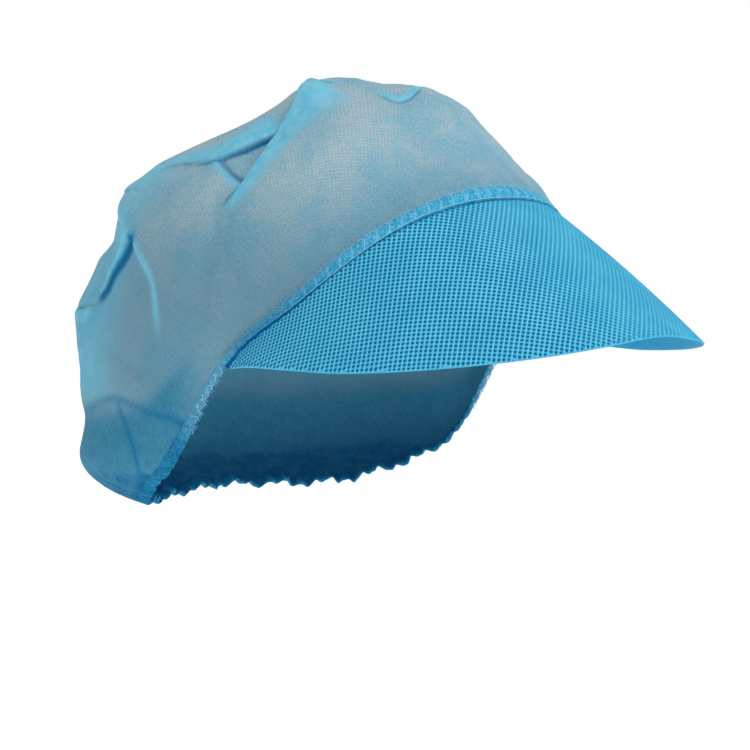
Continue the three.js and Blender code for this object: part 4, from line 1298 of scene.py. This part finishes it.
HEM_END_ROUND = 0.0005
HEM_END_LEAST = 0.02
HEM_LOOPS = 6
HEM_LOOP_PITCH = 0.0038
HEM_LOOP_SLACK = 0.00025
HEM_LINT = 260
HEM_LINT_END = 0.035
HEM_LINT_HEIGHTS = (-1, 0.6)
HEM_LOOP_RADIUS = 0.00016
HEM_LOOP_SIDES = 5
HEM_LOOP_SHIFT = 0.5
HEM_LOOP = [
    {"along": 0.0, "high": 0.6, "out": 1.1}, {"along": 0.35, "high": 0.0, "out": 1.35},
    {"along": 0.6, "high": -0.7, "out": 1.2}, {"along": 0.75, "high": -1.15, "out": 0.4},
    {"along": 0.95, "high": -1.1, "out": -0.4}, {"along": 1.1, "high": -0.6, "out": 1.1},
    {"along": 1.2, "high": 0.1, "out": 1.4}, {"along": 1.5, "high": 0.5, "out": 1.15},
]
first_angle = HEM_START_ANGLE + HEM_START_GAP
hem_angles, hem_length = even_angles(first_angle, 360 - first_angle, HEM_STATIONS, HEM_HEIGHT / 2)
hem_signed = np.where(hem_angles > 180, hem_angles - 360, hem_angles)
along_hem = np.linspace(0, hem_length, HEM_STATIONS)
hem_tall = hem_height_at(hem_signed)
hem_level = level_above(hem_signed, hem_tall / 2)
hem_face, hem_outward = finished_cloth(hem_signed, hem_level)[:2]
hem_middle = hem_face - HEM_INSET * hem_outward
hem_upward = unit(bag_point(hem_signed, hem_level + SLOPE_LEVEL_STEP)
                  - bag_point(hem_signed, hem_level - SLOPE_LEVEL_STEP))
from_corner = np.minimum(along_hem, hem_length - along_hem)
drawn_in = between((RUFFLE_CORNER_SHARE, 1), smooth_step(RUFFLE_START, RUFFLE_FULL, from_corner))
short_of_round = 1 - np.clip(from_corner / HEM_END_ROUND, 0, 1)
rounded_end = np.sqrt(np.clip(1 - short_of_round ** 2, HEM_END_LEAST, 1))
chance = np.random.default_rng(seed=23)
ruffle_wander = sum(wave["size"] * np.sin(along_hem / wave["reach"] + start) for wave, start in
                    zip(RUFFLE_WANDERS, chance.uniform(*WAVE_STARTS, len(RUFFLE_WANDERS))))
slow_wave = np.sin(along_hem / RUFFLE_SIZES["reach"] + RUFFLE_SIZES["start"])
quick_wave = np.sin(along_hem / RUFFLE_SIZES["second_reach"])
ruffle_size = drawn_in * (RUFFLE_SIZES["mean"] + RUFFLE_SIZES["swing"] * slow_wave * quick_wave)
ruffle_phase = 2 * np.pi * along_hem / RUFFLE_PITCH + ruffle_wander
thickness_share = 1 - THICKNESS_SWING + THICKNESS_SWING * np.cos(ruffle_phase / 2)
hem_rings = []
for k in range(HEM_SIDES):
    turned_by = 2 * np.pi * k / HEM_SIDES
    high = math.sin(turned_by)
    below_middle, above_middle = max(-high, 0), max(high, 0)
    thick = math.copysign(abs(math.cos(turned_by)) ** HEM_SQUARENESS, math.cos(turned_by))
    size_here = (RUFFLE_SHARES["middle"] + RUFFLE_SHARES["more_below"] * below_middle
                 - RUFFLE_SHARES["less_above"] * above_middle)
    ruffle = RUFFLE * ruffle_size * np.sin(ruffle_phase + RUFFLE_LAG * high) * size_here
    edge = RUFFLE_EDGE * ruffle_size * np.cos(ruffle_phase + EDGE_LAG) * below_middle
    rise = HEM_HALF_HEIGHT * hem_tall / HEM_HEIGHT * high * rounded_end - edge
    out = HEM_HALF_THICKNESS * thick * rounded_end * thickness_share + ruffle
    hem_rings.append(hem_middle + rise[:, None] * hem_upward + out[:, None] * hem_outward)

hem_material, tree = new_material("cloth gathered over the elastic")
clouds = noise(tree, 150.0, 4.0)
fuzz = noise(tree, 1500.0, 3.0)
# The hem's dark base tones: the deeper colour of its doubled cloth, and painted shade where it tucks under the
# bag
colour = mixed(tree, spread(tree, clouds, 0.35, 0.65), linear(4, 102, 146), linear(24, 124, 164))
# Lighter towards its two ends, out of that painted shade
colour = tinted(tree, colour, (84, 156, 186), named(tree, "corner_end"), 0.1, 1.0, 0.85)
# Painted shade in the valleys of the ruffles
colour = tinted(tree, colour, (0, 94, 142), named(tree, "valley_shade"), 0.2, 1.0, 0.6)
colour = tinted(tree, colour, (110, 180, 206), fuzz, 0.45, 0.7, 0.25)
end_material(tree, colour, 0.85, fuzz, 0.4, 0.00015)

# The hem's ends, which are lighter and out of the painted shade
corner_end = np.repeat(1 - smooth_step(*CORNER_END_FADE, from_corner), HEM_SIDES)
# Painted shade in the ruffles' valleys
valley_shade = np.repeat(np.clip(-np.sin(ruffle_phase), 0, 1) * drawn_in, HEM_SIDES)
hem_around = np.linspace(0, 2 * (HEM_HEIGHT + HEM_OVERLAP), HEM_SIDES)
hem_map = np.stack([np.repeat(along_hem, HEM_SIDES), np.tile(hem_around, HEM_STATIONS)], 1)
hem = mesh_object("hem_cloth", tube_points(hem_rings), tube_faces(HEM_STATIONS, HEM_SIDES),
                  {"corner_end": np.r_[corner_end, 1, 1], "valley_shade": np.r_[valley_shade, 0, 0]},
                  np.concatenate([hem_map, np.zeros((2, 2))]), hem_material)
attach(hem, "root")
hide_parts("elastic_hem")


def along_the_hem(way, high, out):
    """Points by the hem at ways along it, at shares of its half height up and of its half thickness out"""
    middle, upward, outward = (np.stack([np.interp(way, along_hem, values[:, axis]) for axis in range(3)], 1)
                               for values in (hem_middle, hem_upward, hem_outward))
    half_tall = HEM_HALF_HEIGHT * np.interp(way, along_hem, hem_tall) / HEM_HEIGHT
    return middle + (high * half_tall)[:, None] * upward + (out * HEM_HALF_THICKNESS)[:, None] * outward


# Loose loops of the overlock thread hang round the hem's two ends, and lint stands along its lower edge
# there
loop_lines, hem_lint_lines = [], []
for n in range(HEM_LOOPS):
    shift = chance.uniform(0, HEM_LOOP_SHIFT)
    loop_way = np.array([(n + shift + point["along"]) * HEM_LOOP_PITCH for point in HEM_LOOP])
    high, out = np.array([[point["high"], point["out"]] for point in HEM_LOOP]).T
    for way in (loop_way, hem_length - loop_way):
        slack = chance.normal(0, HEM_LOOP_SLACK, (len(HEM_LOOP), 3))
        loop_lines.append(along_the_hem(way, high, out) + slack)
lint_way = chance.uniform(0, HEM_LINT_END, HEM_LINT)
for way in (lint_way, hem_length - lint_way):
    high, out = chance.uniform(*HEM_LINT_HEIGHTS, HEM_LINT), np.ones(HEM_LINT)
    roots = along_the_hem(way, high, out)
    downward = along_the_hem(way, high - 1, out) - roots
    outs = along_the_hem(way, high, out + 1) - roots
    hem_lint_lines += lint_lines(chance, roots, downward, outs, LINT_LENGTHS)
hem_loops = sewn("hem_loops", loop_lines, HEM_LOOP_RADIUS, HEM_LOOP_SIDES, thread_material)
hem_lint = sewn("hem_lint", hem_lint_lines, LINT_RADIUS, LINT_SIDES, thread_material)
